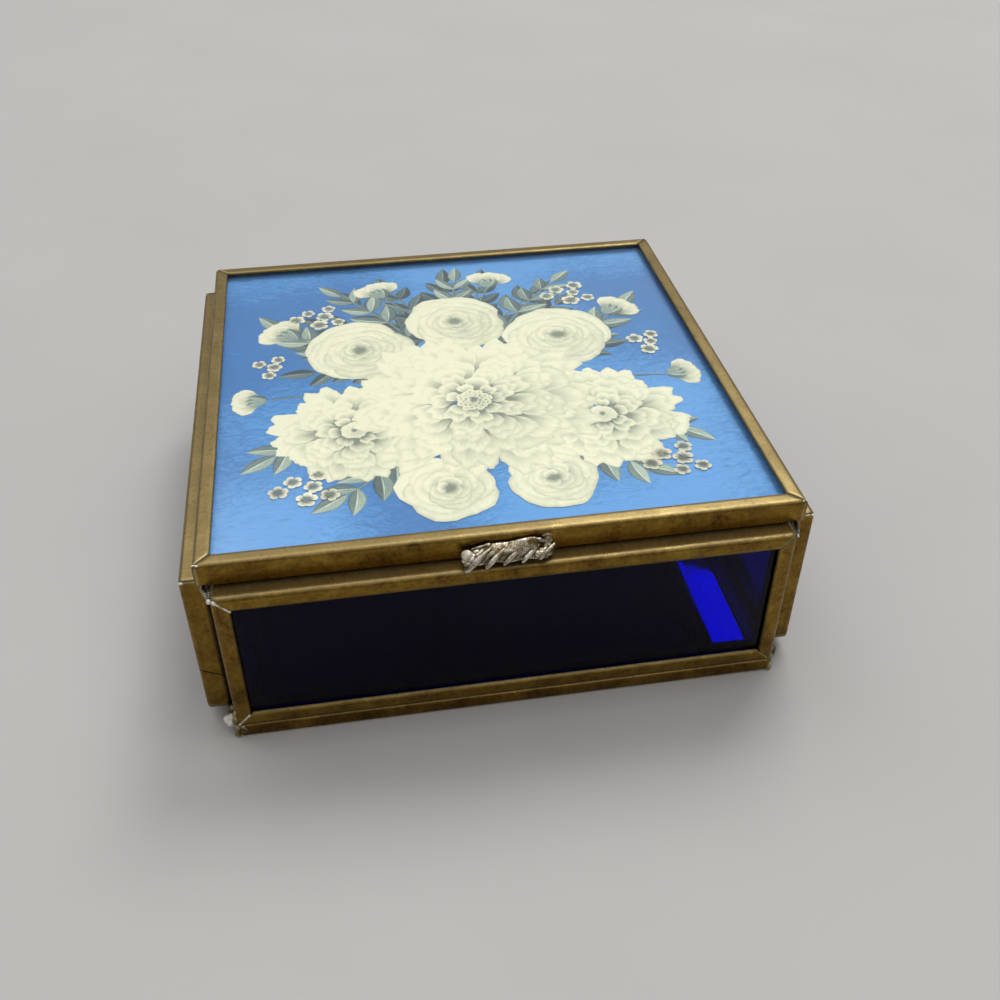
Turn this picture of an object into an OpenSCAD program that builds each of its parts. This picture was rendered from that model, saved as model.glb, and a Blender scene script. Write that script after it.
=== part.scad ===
// Hinged glass casket box: cobalt panes bound in mitred brass channel, mirror base,
// inset lid with a glazed print, twisted thumb lift in front and a rod-in-tube hinge behind.
// Millimetres. Origin at the centre of the body's footprint, on the surface it rests on.
// +X to the right, +Y to the back (hinge side), +Z up.

/* [Body] */
// Width of the body over its side walls
body_w = 101.6; // [90:0.1:140]
// Depth of the body over its front and back walls
body_d = 102.4; // [90:0.1:140]
// Height of each wall panel
wall_h = 28.5; // [24:0.1:60]

/* [Wall channel] */
// Thickness of the channel that binds the wall panes
wall_t = 4.9; // [4.2:0.1:5.6]
// Depth of the wall channel, from its web to the tips of its lips
wall_lip = 2.7; // [2.3:0.1:4]
// Sheet thickness of the wall channel
wall_sheet = 0.8; // [0.6:0.05:1]
// Radius of the wall channel's outer corners
wall_round = 0.7; // [0.5:0.05:0.9]

/* [Base] */
// Thickness of the framed base panel, which stands proud below the walls
base_t = 2.6; // [2.4:0.1:4]
// Depth of the base channel, from its web to the tips of its lips
base_lip = 2.7; // [2.3:0.1:4]
// Sheet thickness of the base channel
base_sheet = 0.4; // [0.3:0.05:0.6]
// Radius of the base channel's outer corners
base_round = 0.5; // [0.3:0.05:0.7]

/* [Lid] */
// Distance from the body's outer faces in to the lid's edge
lid_inset = 2.9; // [2.7:0.1:3.4]
// Thickness of the lid's channel
lid_t = 4.3; // [4:0.1:6]
// Depth of the lid channel, from its web to the tips of its lips
lid_lip = 2.6; // [2.3:0.1:4]
// Sheet thickness of the lid channel
lid_sheet = 0.6; // [0.4:0.05:0.8]
// Radius of the lid channel's outer corners
lid_round = 0.6; // [0.5:0.05:0.8]
// Gap between the walls and the closed lid
lid_gap = 0.2; // [0.1:0.05:0.6]
// Thickness of the lid's clear pane
lid_glass_t = 1.6; // [1:0.1:2]
// Thickness of the printed sheet under the lid's pane
print_t = 0.2; // [0.15:0.05:0.3]

/* [Fits] */
// Gap on each face of a pane held in a channel
face_clear = 0.05; // [0.02:0.01:0.1]
// Gap between a pane's edge and the channel's web
edge_clear = 0.2; // [0.1:0.05:0.5]
// Width of the seam left where two mitred lengths meet
mitre_seam = 0.1; // [0.04:0.02:0.2]

/* [Hinge] */
// Diameter of the hinge rod
rod_d = 1.6; // [1.2:0.1:1.7]
// Running gap between the rod and the tube's bore, on the radius
rod_clear = 0.05; // [0.02:0.01:0.1]
// Wall thickness of the hinge tube
tube_wall = 0.35; // [0.25:0.05:0.4]
// Gap between the hinge tube and the top of the back wall
tube_gap = 0.2; // [0.1:0.05:0.3]
// Gap between the back wall's end and each upright leg of the rod
leg_gap = 0.3; // [0.25:0.05:0.4]
// Radius of the rod's two bends, on its centre line
bend_r = 1.6; // [1.2:0.1:1.8]
// Length of each upright leg below its bend
leg_len = 13; // [8:0.5:18]
// Length of each solder fillet that holds the tube to the lid
fillet_len = 14; // [6:0.5:24]

/* [Thumb lift] */
// Number of strands seen along the twisted strip
strand_n = 5; // [3:1:8]
// Offset of the strip's middle from the box's centre line
lift_off = -0.7; // [-10:0.1:10]
// Diameter of one strand of the twist
strand_d = 2; // [1.8:0.05:2.1]
// Spacing of the strands along the strip
strand_pitch = 2.6; // [2.2:0.1:2.7]
// Reach of the strands in front of the lid, to the centre of their lower ends
lift_reach = 3.15; // [3:0.05:3.2]
// Radius of the solder bead that holds the strip to the lid
lift_bead_r = 1.15; // [0.9:0.05:1.3]

/* [Solder] */
// Radius of the solder beads at the tops of the corners between the walls
tack_r = 1.8; // [1.4:0.05:1.9]
// Radius of the solder beads along the base's edge
base_tack_r = 2.1; // [1.4:0.05:2.3]
// Radius of the solder caps on the lid's corners
cap_r = 0.9; // [0.7:0.05:1.2]

/* [Hidden] */
$fn = 48;
eps = 0.01;

// Wall panels: the side walls run between the front and back walls' planes and stand
// outside their ends, so walls meet only at their inner corners
front_len = body_w - 2 * wall_t;
side_len = body_d - 2 * wall_t;
corner_x = front_len / 2;
corner_y = side_len / 2;
wall_z = base_t;
wall_top = wall_z + wall_h;
wall_pane_inset = wall_sheet + edge_clear;
wall_pane_t = wall_t - 2 * (wall_sheet + face_clear);

// Base panel
base_pane_inset = base_sheet + edge_clear;
base_pane_t = base_t - 2 * (base_sheet + face_clear);

// Lid
lid_w = body_w - 2 * lid_inset;
lid_d = body_d - 2 * lid_inset;
lid_z = wall_top + lid_gap;
lid_top = lid_z + lid_t;
lid_pane_inset = lid_sheet + edge_clear;
lid_glass_z = lid_top - lid_sheet - face_clear - lid_glass_t;
print_z = lid_glass_z - print_t;
backing_z = lid_z + lid_sheet + face_clear;
backing_t = print_z - backing_z;

// Hinge: the tube lies on the back wall's ledge, against the lid's back edge
bore_r = rod_d / 2 + rod_clear;
tube_r = bore_r + tube_wall;
hinge_y = lid_d / 2 + tube_r;
hinge_z = wall_top + tube_gap + tube_r;
leg_x = corner_x + leg_gap + rod_d / 2;
bend_x = leg_x - bend_r;
bend_z = hinge_z - bend_r;
tube_len = 2 * (bend_x - 0.8);
leg_bead_r = rod_d / 2 + 0.5;
leg_bead_z = bend_z - leg_len + 1;
leg_bead_len = leg_len - 3;
fillet_x = [-0.42 * tube_len, 0, 0.42 * tube_len];

// Thumb lift: the strands lie side by side on a slope, from the lid's front face down past
// the top of the front wall. Points are [reach in front of the lid, height over the walls]
strand_r = strand_d / 2;
lift_top = [strand_r + 0.3, 2.5];
lift_low = [lift_reach, 1.1];
strand_lean = strand_pitch;
lift_len = (strand_n - 1) * strand_pitch + strand_lean + strand_d;
bead_at = [0.8, 2.6];
lift_face_y = -lid_d / 2;

// ---- channel ----

// Section of a folded channel: x across its thickness, y from its web to its lips
module channel_section(t, lip, sheet, round_r) {
    tip_r = sheet / 2;
    difference() {
        union() {
            translate([round_r, 0]) square([t - 2 * round_r, lip - tip_r]);
            translate([0, round_r]) square([t, lip - tip_r - round_r]);
            for (x = [round_r, t - round_r]) translate([x, round_r]) circle(round_r);
            for (x = [tip_r, t - tip_r]) translate([x, lip - tip_r]) circle(tip_r);
        }
        translate([sheet, sheet]) square([t - 2 * sheet, lip]);
    }
}

// One mitred length along +X from the origin, its web on the plane y = 0, its lips towards
// +Y and its thickness along +Z
module channel_length(len, t, lip, sheet, round_r) {
    cut = mitre_seam / 2;
    intersection() {
        translate([0, 0, t]) rotate([0, 90, 0])
            linear_extrude(len) channel_section(t, lip, sheet, round_r);
        linear_extrude(t)
            polygon([[cut, 0], [len - cut, 0], [len - cut - lip, lip], [cut + lip, lip]]);
    }
}

// Puts its child on one side of a flat a by b frame that lies in the XY plane, centred.
// side: 0 lowest y, 1 highest x, 2 highest y, 3 lowest x
module on_side(a, b, side) {
    turn = 90 * side;
    len = side % 2 == 0 ? a : b;
    out = side % 2 == 0 ? b : a;
    rotate([0, 0, turn]) translate([-len / 2, -out / 2, 0]) children();
}

// ---- panels, each drawn flat and then set in its place ----

module wall_length(a, side) {
    len = side % 2 == 0 ? a : wall_h;
    on_side(a, wall_h, side) channel_length(len, wall_t, wall_lip, wall_sheet, wall_round);
}

module wall_pane(a) {
    w = a - 2 * wall_pane_inset;
    h = wall_h - 2 * wall_pane_inset;
    translate([-w / 2, -h / 2, wall_sheet + face_clear]) cube([w, h, wall_pane_t]);
}

// Stands a flat panel up with its outer face at a distance from the middle of the box
module upright(reach, turn) {
    rotate([0, 0, turn]) translate([0, wall_t - reach, wall_z + wall_h / 2])
        rotate([90, 0, 0]) children();
}

module at_front() { upright(body_d / 2, 0) children(); }
module at_right() { upright(body_w / 2, 90) children(); }
module at_back() { upright(body_d / 2, 180) children(); }
module at_left() { upright(body_w / 2, 270) children(); }

module base_length(side) {
    len = side % 2 == 0 ? front_len : body_d;
    on_side(front_len, body_d, side)
        channel_length(len, base_t, base_lip, base_sheet, base_round);
}

module lid_length(side) {
    len = side % 2 == 0 ? lid_w : lid_d;
    translate([0, 0, lid_z]) on_side(lid_w, lid_d, side)
        channel_length(len, lid_t, lid_lip, lid_sheet, lid_round);
}

module lid_sheet_piece(z, t) {
    w = lid_w - 2 * lid_pane_inset;
    d = lid_d - 2 * lid_pane_inset;
    translate([-w / 2, -d / 2, z]) cube([w, d, t]);
}

// ---- wall nodes ----

module front_glass() color("#0d1370", 0.6) at_front() wall_pane(front_len);
module back_glass() color("#0d1370", 0.6) at_back() wall_pane(front_len);
module left_glass() color("#0d1370", 0.6) at_left() wall_pane(side_len);
module right_glass() color("#0d1370", 0.6) at_right() wall_pane(side_len);

module front_channel_bottom() color("#7d6a34") at_front() wall_length(front_len, 0);
module front_channel_right() color("#7d6a34") at_front() wall_length(front_len, 1);
module front_channel_top() color("#7d6a34") at_front() wall_length(front_len, 2);
module front_channel_left() color("#7d6a34") at_front() wall_length(front_len, 3);

module back_channel_bottom() color("#7d6a34") at_back() wall_length(front_len, 0);
module back_channel_left() color("#7d6a34") at_back() wall_length(front_len, 1);
module back_channel_top() color("#7d6a34") at_back() wall_length(front_len, 2);
module back_channel_right() color("#7d6a34") at_back() wall_length(front_len, 3);

module left_channel_bottom() color("#7d6a34") at_left() wall_length(side_len, 0);
module left_channel_front() color("#7d6a34") at_left() wall_length(side_len, 1);
module left_channel_top() color("#7d6a34") at_left() wall_length(side_len, 2);
module left_channel_back() color("#7d6a34") at_left() wall_length(side_len, 3);

module right_channel_bottom() color("#7d6a34") at_right() wall_length(side_len, 0);
module right_channel_back() color("#7d6a34") at_right() wall_length(side_len, 1);
module right_channel_top() color("#7d6a34") at_right() wall_length(side_len, 2);
module right_channel_front() color("#7d6a34") at_right() wall_length(side_len, 3);

// ---- base nodes ----

module base_mirror() color("#5f6f86") {
    w = front_len - 2 * base_pane_inset;
    d = body_d - 2 * base_pane_inset;
    translate([-w / 2, -d / 2, base_sheet + face_clear]) cube([w, d, base_pane_t]);
}

module base_channel_front() color("#8a7842") base_length(0);
module base_channel_right() color("#8a7842") base_length(1);
module base_channel_back() color("#8a7842") base_length(2);
module base_channel_left() color("#8a7842") base_length(3);

// ---- solder on the body ----

// Upright block that a wall fills, its upright edges rounded as its channel's are
module wall_block(w, d) {
    linear_extrude(wall_h) {
        square([w - 2 * wall_round, d], center = true);
        square([w, d - 2 * wall_round], center = true);
        for (x = [-1, 1], y = [-1, 1])
            translate([x * (w / 2 - wall_round), y * (d / 2 - wall_round)]) circle(wall_round);
    }
}

// The space that the walls, the base and the box's inside take up
module body_solids() {
    for (s = [-1, 1]) {
        translate([0, s * (body_d - wall_t) / 2, wall_z]) wall_block(front_len, wall_t);
        translate([s * (body_w - wall_t) / 2, 0, wall_z]) wall_block(wall_t, side_len);
    }
    translate([-corner_x, -body_d / 2, 0]) cube([front_len, body_d, base_t]);
    translate([-corner_x, -corner_y, base_t]) cube([front_len, side_len, wall_h]);
}

module corner_solder() color("#a5a596") difference() {
    for (x = [-1, 1], y = [-1, 1])
        translate([x * corner_x, y * corner_y, wall_top - 0.9 * tack_r]) sphere(tack_r);
    body_solids();
    translate([-body_w / 2, -body_d / 2, wall_top]) cube([body_w, body_d, tack_r]);
}

module base_solder() color("#a5a596") difference() {
    for (x = [-1, 1], y = [-corner_y, -corner_y / 3, corner_y / 3, corner_y])
        translate([x * corner_x, y, wall_z]) sphere(base_tack_r);
    body_solids();
}

// ---- hinge ----

module hinge_rod() color("#b59a4c") translate([0, hinge_y, 0]) {
    translate([-bend_x, 0, hinge_z]) rotate([0, 90, 0]) cylinder(d = rod_d, h = 2 * bend_x);
    for (s = [0, 1]) mirror([s, 0, 0]) {
        translate([bend_x, 0, bend_z]) rotate([90, 0, 0])
            rotate_extrude(angle = 90) translate([bend_r, 0]) circle(d = rod_d);
        translate([leg_x, 0, bend_z - leg_len]) cylinder(d = rod_d, h = leg_len);
    }
}

module hinge_rod_solder() color("#a5a596") difference() {
    for (x = [-leg_x, leg_x]) translate([x, hinge_y, leg_bead_z]) {
        cylinder(r = leg_bead_r, h = leg_bead_len);
        for (z = [0, leg_bead_len]) translate([0, 0, z]) sphere(leg_bead_r);
    }
    body_solids();
    hinge_rod();
}

module hinge_tube() color("#b59a4c") translate([-tube_len / 2, hinge_y, hinge_z])
    rotate([0, 90, 0]) difference() {
        cylinder(r = tube_r, h = tube_len);
        translate([0, 0, -eps]) cylinder(r = bore_r, h = tube_len + 2 * eps);
    }

// Solder in the valley between the tube and the lid's back edge
module hinge_tube_solder() color("#a5a596") for (x = fillet_x)
    translate([x - fillet_len / 2, lid_d / 2, hinge_z]) rotate([90, 0, 90])
        linear_extrude(fillet_len) difference() {
            polygon([[0, 0], [tube_r, tube_r * 0.98], [0, lid_t - lid_round - tube_r]]);
            translate([tube_r, 0]) circle(tube_r);
        }

// ---- lid nodes ----

module lid_glass() color("#bcd4ea", 0.5) lid_sheet_piece(lid_glass_z, lid_glass_t);
module lid_print() color("#6f9fd6") lid_sheet_piece(print_z, print_t);
module lid_backing() color("#3c3a36") lid_sheet_piece(backing_z, backing_t);

module lid_channel_front() color("#8f7c45") lid_length(0);
module lid_channel_right() color("#8f7c45") lid_length(1);
module lid_channel_back() color("#8f7c45") lid_length(2);
module lid_channel_left() color("#8f7c45") lid_length(3);

module lid_corner_solder() color("#a5a596") difference() {
    for (x = [-1, 1], y = [-1, 1])
        translate([x * (lid_w / 2 - cap_r / 2), y * (lid_d / 2 - cap_r / 2), lid_z + lid_t / 2])
            sphere(cap_r);
    translate([-lid_w / 2, -lid_d / 2, lid_z]) cube([lid_w, lid_d, lid_t]);
}

// A strand from a to b, each [x, reach in front of the lid, height over the walls]
module strand(a, b) {
    run = b - a;
    len = norm(run);
    translate(a) {
        sphere(strand_r);
        rotate([0, acos(run[2] / len), atan2(run[1], run[0])]) cylinder(r = strand_r, h = len);
    }
    translate(b) sphere(strand_r);
}

module lift_strands() {
    mid = (strand_n - 1) / 2;
    for (i = [0 : strand_n - 1]) {
        x = lift_off + (i - mid) * strand_pitch;
        strand([x + strand_lean / 2, -lift_top[0], lift_top[1]],
               [x - strand_lean / 2, -lift_low[0], lift_low[1]]);
    }
}

module thumb_lift() color("#9b9a8c") translate([0, lift_face_y, wall_top]) lift_strands();

module thumb_lift_solder() color("#a5a596") translate([0, lift_face_y, wall_top]) difference() {
    half = lift_len / 2 - lift_bead_r;
    translate([lift_off - half, -bead_at[0], bead_at[1]]) {
        rotate([0, 90, 0]) cylinder(r = lift_bead_r, h = 2 * half);
        for (x = [0, 2 * half]) translate([x, 0, 0]) sphere(lift_bead_r);
    }
    lift_strands();
    translate([-lid_w / 2, 0, 0]) cube([lid_w, lid_t, lid_t + lid_gap]);
}

front_glass();
back_glass();
left_glass();
right_glass();
front_channel_top();
front_channel_bottom();
front_channel_left();
front_channel_right();
back_channel_top();
back_channel_bottom();
back_channel_left();
back_channel_right();
left_channel_top();
left_channel_bottom();
left_channel_front();
left_channel_back();
right_channel_top();
right_channel_bottom();
right_channel_front();
right_channel_back();
base_mirror();
base_channel_front();
base_channel_back();
base_channel_left();
base_channel_right();
corner_solder();
base_solder();
hinge_rod();
hinge_rod_solder();
lid_glass();
lid_print();
lid_backing();
lid_channel_front();
lid_channel_back();
lid_channel_left();
lid_channel_right();
lid_corner_solder();
thumb_lift();
thumb_lift_solder();
hinge_tube();
hinge_tube_solder();
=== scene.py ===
"""Glass casket box: cobalt panes in aged brass channel, a mirror base and a lid with a print.

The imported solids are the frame. This script dresses them, puts hand-run solder, the twisted thumb
lift and the layered print in place of their plain solids, and sets up the studio.
"""

import logging
import math
import random
from dataclasses import dataclass, field
from enum import Enum
from typing import Any, Iterable, Sequence

import bmesh
import bpy
import numpy as np
from mathutils import Matrix, Vector, noise


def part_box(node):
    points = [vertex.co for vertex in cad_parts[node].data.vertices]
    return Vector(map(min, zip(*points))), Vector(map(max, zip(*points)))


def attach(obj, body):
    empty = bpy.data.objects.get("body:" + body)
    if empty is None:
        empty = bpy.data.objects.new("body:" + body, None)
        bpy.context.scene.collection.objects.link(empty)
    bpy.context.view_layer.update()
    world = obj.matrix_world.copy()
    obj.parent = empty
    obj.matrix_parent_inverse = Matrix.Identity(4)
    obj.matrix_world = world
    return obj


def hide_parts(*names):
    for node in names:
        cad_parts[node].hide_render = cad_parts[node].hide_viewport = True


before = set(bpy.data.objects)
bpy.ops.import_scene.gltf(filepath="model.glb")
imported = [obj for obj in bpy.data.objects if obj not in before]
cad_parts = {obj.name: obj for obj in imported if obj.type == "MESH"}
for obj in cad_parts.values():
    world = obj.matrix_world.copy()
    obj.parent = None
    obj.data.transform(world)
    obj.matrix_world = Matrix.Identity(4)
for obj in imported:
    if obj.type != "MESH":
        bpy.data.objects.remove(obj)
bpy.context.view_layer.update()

LOG = logging.getLogger("casket")
MM = 0.001
# radians between one petal and the next, so that no two line up
GOLDEN_TURN = 2.399963
# top of the range that a free heading is drawn from, in radians
ANY_TURN = 6.28
WHITE = "#ffffff"
Point = tuple[float, float, float]
Place = tuple[float, float]
Pair = tuple[float, float]


class Along(Enum):
    """The axis that a drawn length runs along."""

    X = 0
    Y = 1
    Z = 2


class Body(Enum):
    """The two bodies that the hinge joins."""

    BOX = "box"
    LID = "lid"


# ---------------------------------------------------------------- helpers


def linear(hex_code: str) -> tuple[float, float, float, float]:
    """Turns an sRGB hex colour to linear RGBA.

    Args:
        hex_code: six hex digits after a hash.

    Returns:
        Linear red, green and blue, with alpha 1.
    """
    parts = [int(hex_code[i : i + 2], 16) / 255 for i in (1, 3, 5)]
    lin = [c / 12.92 if c <= 0.04045 else ((c + 0.055) / 1.055) ** 2.4 for c in parts]
    return (lin[0], lin[1], lin[2], 1.0)


def per(size_mm: float) -> float:
    """A texture scale whose features are about size_mm apart."""
    return 1.0 / (size_mm * MM)


def add(
    tree: bpy.types.NodeTree,
    kind: str,
    inputs: dict[Any, Any] | None = None,
    stops: Sequence[tuple[float, str]] = (),
    **settings: Any,
) -> bpy.types.Node:
    """Adds one node with its settings, values and links.

    Args:
        tree: the node tree to add to.
        kind: the node's type name.
        inputs: socket name or number to a value, or to the output socket that feeds it.
        stops: positions and hex colours, for a node with a colour ramp.
        **settings: the node's own properties.

    Returns:
        The new node.
    """
    made = tree.nodes.new(kind)
    for key, value in settings.items():
        setattr(made, key, value)
    for key, value in (inputs or {}).items():
        if isinstance(value, bpy.types.NodeSocket):
            tree.links.new(value, made.inputs[key])
        else:
            made.inputs[key].default_value = value
    if stops:
        ramp = made.color_ramp.elements
        while len(ramp) < len(stops):
            ramp.new(0.5)
        for element, (at, colour) in zip(ramp, stops):
            element.position = at
            element.color = linear(colour)
    return made


def fresh_material(name: str) -> tuple[bpy.types.Material, bpy.types.NodeTree]:
    """Starts a node material.

    Args:
        name: the material's name.

    Returns:
        The material and its empty node tree.
    """
    material = bpy.data.materials.new(name)
    material.use_nodes = True
    material.node_tree.nodes.clear()
    return material, material.node_tree


def object_from(
    name: str,
    vertices: Sequence[Sequence[float]],
    faces: Sequence[Sequence[int]],
    smooth: bool = True,
) -> bpy.types.Object:
    """Makes a mesh object at the origin and links it to the scene.

    Args:
        name: the piece's name.
        vertices: places in metres, in the row frame.
        faces: vertex numbers of each face.
        smooth: whether the faces are shaded smooth.

    Returns:
        The new object.
    """
    mesh = bpy.data.meshes.new(name)
    mesh.from_pydata([tuple(v) for v in vertices], [], [tuple(f) for f in faces])
    mesh.update()
    mesh.polygons.foreach_set("use_smooth", [smooth] * len(mesh.polygons))
    made = bpy.data.objects.new(name, mesh)
    bpy.context.scene.collection.objects.link(made)
    return made


def evaluated_copy(source: bpy.types.Object) -> bpy.types.Mesh:
    """The mesh of an object with its modifiers run, as plain data."""
    graph = bpy.context.evaluated_depsgraph_get()
    return bpy.data.meshes.new_from_object(source.evaluated_get(graph))


def clean(mesh: bpy.types.Mesh, nothing: float = 1e-7, least: int = 0) -> None:
    """Takes away faces that have shrunk to a line, and specks.

    Args:
        mesh: the mesh, changed in place.
        nothing: an edge shorter than this has no length.
        least: a separate shell of fewer faces than this is a speck.
    """
    work = bmesh.new()
    work.from_mesh(mesh)
    bmesh.ops.dissolve_degenerate(work, dist=nothing, edges=work.edges)
    specks: list[bmesh.types.BMFace] = []
    left = set(work.faces) if least else set()
    while left:
        first = left.pop()
        shell, front = {first}, [first]
        while front:
            for edge in front.pop().edges:
                for face in edge.link_faces:
                    if face not in shell:
                        shell.add(face)
                        front.append(face)
        left -= shell
        if len(shell) < least:
            specks += shell
    bmesh.ops.delete(work, geom=specks, context="FACES")
    work.to_mesh(mesh)
    work.free()


def new_group(name: str, sockets: Sequence[tuple[str, str]]) -> bpy.types.NodeTree:
    """Starts a Geometry Nodes tree that takes geometry and some named inputs.

    Args:
        name: the tree's name.
        sockets: name and kind of each input, without its NodeSocket prefix.

    Returns:
        The tree, with its interface and no nodes.
    """
    tree = bpy.data.node_groups.new(name, "GeometryNodeTree")
    face = tree.interface
    face.new_socket("Geometry", in_out="INPUT", socket_type="NodeSocketGeometry")
    for label, kind in sockets:
        face.new_socket(label, in_out="INPUT", socket_type="NodeSocket" + kind)
    face.new_socket("Geometry", in_out="OUTPUT", socket_type="NodeSocketGeometry")
    return tree


def run_group(
    holder: bpy.types.Object, tree: bpy.types.NodeTree, given: dict[str, Any]
) -> bpy.types.Mesh:
    """Runs a Geometry Nodes tree on an object.

    Args:
        holder: the object whose geometry goes in.
        tree: the tree.
        given: input name to value.

    Returns:
        What comes out, as plain mesh data.
    """
    run = holder.modifiers.new("run", "NODES")
    run.node_group = tree
    for item in tree.interface.items_tree:
        if item.item_type == "SOCKET" and item.in_out == "INPUT" and item.name in given:
            run[item.identifier] = given[item.name]
    return evaluated_copy(holder)


def dress(node_name: str, material: bpy.types.Material) -> None:
    """Gives a CAD node's object its finish.

    Args:
        node_name: the node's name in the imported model.
        material: the finish that takes over each of its slots.
    """
    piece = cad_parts[node_name]
    if not piece.material_slots:
        piece.data.materials.append(material)
    for place in piece.material_slots:
        place.material = material
    LOG.info("node %s: %s", node_name, material.name)


def settle(
    piece: bpy.types.Object,
    body: Body,
    material: bpy.types.Material | None,
    stands_for: Iterable[str] = (),
) -> bpy.types.Object:
    """Hands a finished piece to the frame.

    Args:
        piece: the object, in place in the row frame.
        body: the body that it rides on.
        material: its finish, or None to keep those that it has.
        stands_for: CAD nodes that it replaces.

    Returns:
        The same object.
    """
    if material is not None:
        piece.data.materials.clear()
        piece.data.materials.append(material)
    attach(piece, body.value)
    if stands_for:
        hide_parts(*stands_for)
    LOG.info("piece %s on %s: %d faces", piece.name, body.value, len(piece.data.polygons))
    return piece


# ---------------------------------------------------------------- finishes


@dataclass(frozen=True)
class Mitre:
    """Where the mitres of a flat frame lie.

    Sizes are in millimetres. A point is on a mitre where abs(a) - abs(b - middle) equals offset.
    """

    a: Along
    b: Along
    middle: float
    offset: float


@dataclass(frozen=True)
class DrawnBrass:
    """Brass channel, drawn and bent by hand, then left to tarnish.

    It gives a warm olive metal with cloudy brown patches, faint draw lines, dark specks, grime
    in the mitre joints, painted shade in the notch, upward faces painted paler as painted light and
    a paler edge that is painted highlight over real rubbing.
    """

    name: str
    along: Along
    mitre: Mitre | None = None
    rubbed_and_highlight: str = "#dccb96"
    lit_top_tone: str = "#a08d5e"
    clean: str = "#91742f"
    tarnish: str = "#6b501f"
    grime: str = "#36270f"
    gloss: float = 0.26
    shift: float = 0.0
    cloud_mm: float = 5.0
    line_mm: float = 0.35
    line_squeeze: float = 0.06
    speck_mm: float = 0.8
    wave_mm: float = 10.0
    bend_mm: float = 1.0
    seam_mm: float = 0.32
    seam_dirt: Pair = (0.2, 0.75)
    crevice: float | None = None
    crevice_dirt: Pair = (1.1, 1.75)
    cut: float | None = None
    cut_slope: float = 0.5

    def seam(self, tree: bpy.types.NodeTree, place: bpy.types.NodeSocket) -> bpy.types.NodeSocket:
        """Finds how near a point is to a mitre.

        Args:
            tree: the node tree to add to.
            place: the point, in object space.

        Returns:
            1 on the mitre, falling to 0 a little way off it.
        """
        axes = add(tree, "ShaderNodeSeparateXYZ", {0: place})
        a = add(tree, "ShaderNodeMath", {0: axes.outputs[self.mitre.a.value]}, operation="ABSOLUTE")
        off = add(tree, "ShaderNodeMath", {0: axes.outputs[self.mitre.b.value],
                  1: self.mitre.middle * MM}, operation="SUBTRACT")
        b = add(tree, "ShaderNodeMath", {0: off.outputs[0]}, operation="ABSOLUTE")
        gap = add(tree, "ShaderNodeMath", {0: a.outputs[0], 1: b.outputs[0]}, operation="SUBTRACT")
        away = add(tree, "ShaderNodeMath", {0: gap.outputs[0], 1: self.mitre.offset * MM},
                   operation="SUBTRACT")
        far = add(tree, "ShaderNodeMath", {0: away.outputs[0]}, operation="ABSOLUTE")
        near = add(tree, "ShaderNodeMapRange", {"Value": far.outputs[0], "From Min": 0.06 * MM,
                   "From Max": self.seam_mm * MM, "To Min": 1.0, "To Max": 0.0})
        return near.outputs[0]

    def grime_and_shade(self, tree: bpy.types.NodeTree, place: bpy.types.NodeSocket,
              specks: bpy.types.NodeSocket, under: bpy.types.NodeSocket) -> bpy.types.NodeSocket:
        """Lays the grime of the mitres, the painted shade of the notch and the saw's slip over a
        colour.

        Args:
            tree: the node tree to add to.
            place: the point, in object space.
            specks: the noise that breaks the grime up.
            under: the colour below it.

        Returns:
            The colour with its grime and painted shade.
        """
        dark_amount = add(tree, "ShaderNodeMapRange", {"Value": specks, "From Min": 0.3, "From Max": 0.6,
                     "To Min": self.seam_dirt[0], "To Max": self.seam_dirt[1]})
        marks = [self.seam(tree, place)] if self.mitre else []
        axes = add(tree, "ShaderNodeSeparateXYZ", {0: place})
        if self.crevice:
            # painted shade, with some grime: the side walls' ends are painted dark beside the walls
            # that they meet
            out = add(tree, "ShaderNodeMath", {0: axes.outputs[0]}, operation="ABSOLUTE")
            full, clear = ((self.crevice + past) * MM for past in self.crevice_dirt)
            near = add(tree, "ShaderNodeMapRange", {"Value": out.outputs[0], "From Min": full,
                       "From Max": clear, "To Min": 2.2, "To Max": 0.0})
            marks.append(near.outputs[0])
        if self.cut:
            # a slip of the saw crosses the face, out of level; cut is its height at x = 0
            slope = add(tree, "ShaderNodeMath", {0: axes.outputs[0], 1: self.cut_slope,
                        2: axes.outputs[2]}, operation="MULTIPLY_ADD")
            off = add(tree, "ShaderNodeMath", {0: slope.outputs[0], 1: self.cut * MM},
                      operation="SUBTRACT")
            far = add(tree, "ShaderNodeMath", {0: off.outputs[0]}, operation="ABSOLUTE")
            near = add(tree, "ShaderNodeMapRange", {"Value": far.outputs[0], "From Min": 0.05 * MM,
                       "From Max": 0.24 * MM, "To Min": 1.9, "To Max": 0.0})
            marks.append(near.outputs[0])
        # each mark darkens towards one dark brown: grime at the mitres and the cut, painted shade
        # in the notch
        for mark in marks:
            dirt = add(tree, "ShaderNodeMath", {0: mark, 1: dark_amount.outputs[0]},
                       operation="MULTIPLY", use_clamp=True)
            under = add(tree, "ShaderNodeMix", {0: dirt.outputs[0], 6: under,
                        7: linear("#2a1f10")}, data_type="RGBA").outputs[2]
        return under

    def patterns(self, tree: bpy.types.NodeTree,
                 place: bpy.types.NodeSocket) -> dict[str, bpy.types.NodeSocket]:
        """Adds the noises that the finish is made of.

        Args:
            tree: the node tree to add to.
            place: the point, in object space.

        Returns:
            The cloud, lines, specks and wave, each from 0 to 1.
        """
        moved = add(tree, "ShaderNodeMapping", {"Vector": place,
                    "Location": (self.shift, self.shift * 0.7, self.shift * 1.3)})
        squeeze = [1.0, 1.0, 1.0]
        squeeze[self.along.value] = self.line_squeeze
        lines_at = add(tree, "ShaderNodeMapping", {"Vector": moved.outputs[0], "Scale": squeeze})
        cloud = add(tree, "ShaderNodeTexNoise", {"Vector": moved.outputs[0],
                    "Scale": per(self.cloud_mm), "Detail": 6.0, "Roughness": 0.6,
                    "Distortion": 0.4})
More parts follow.
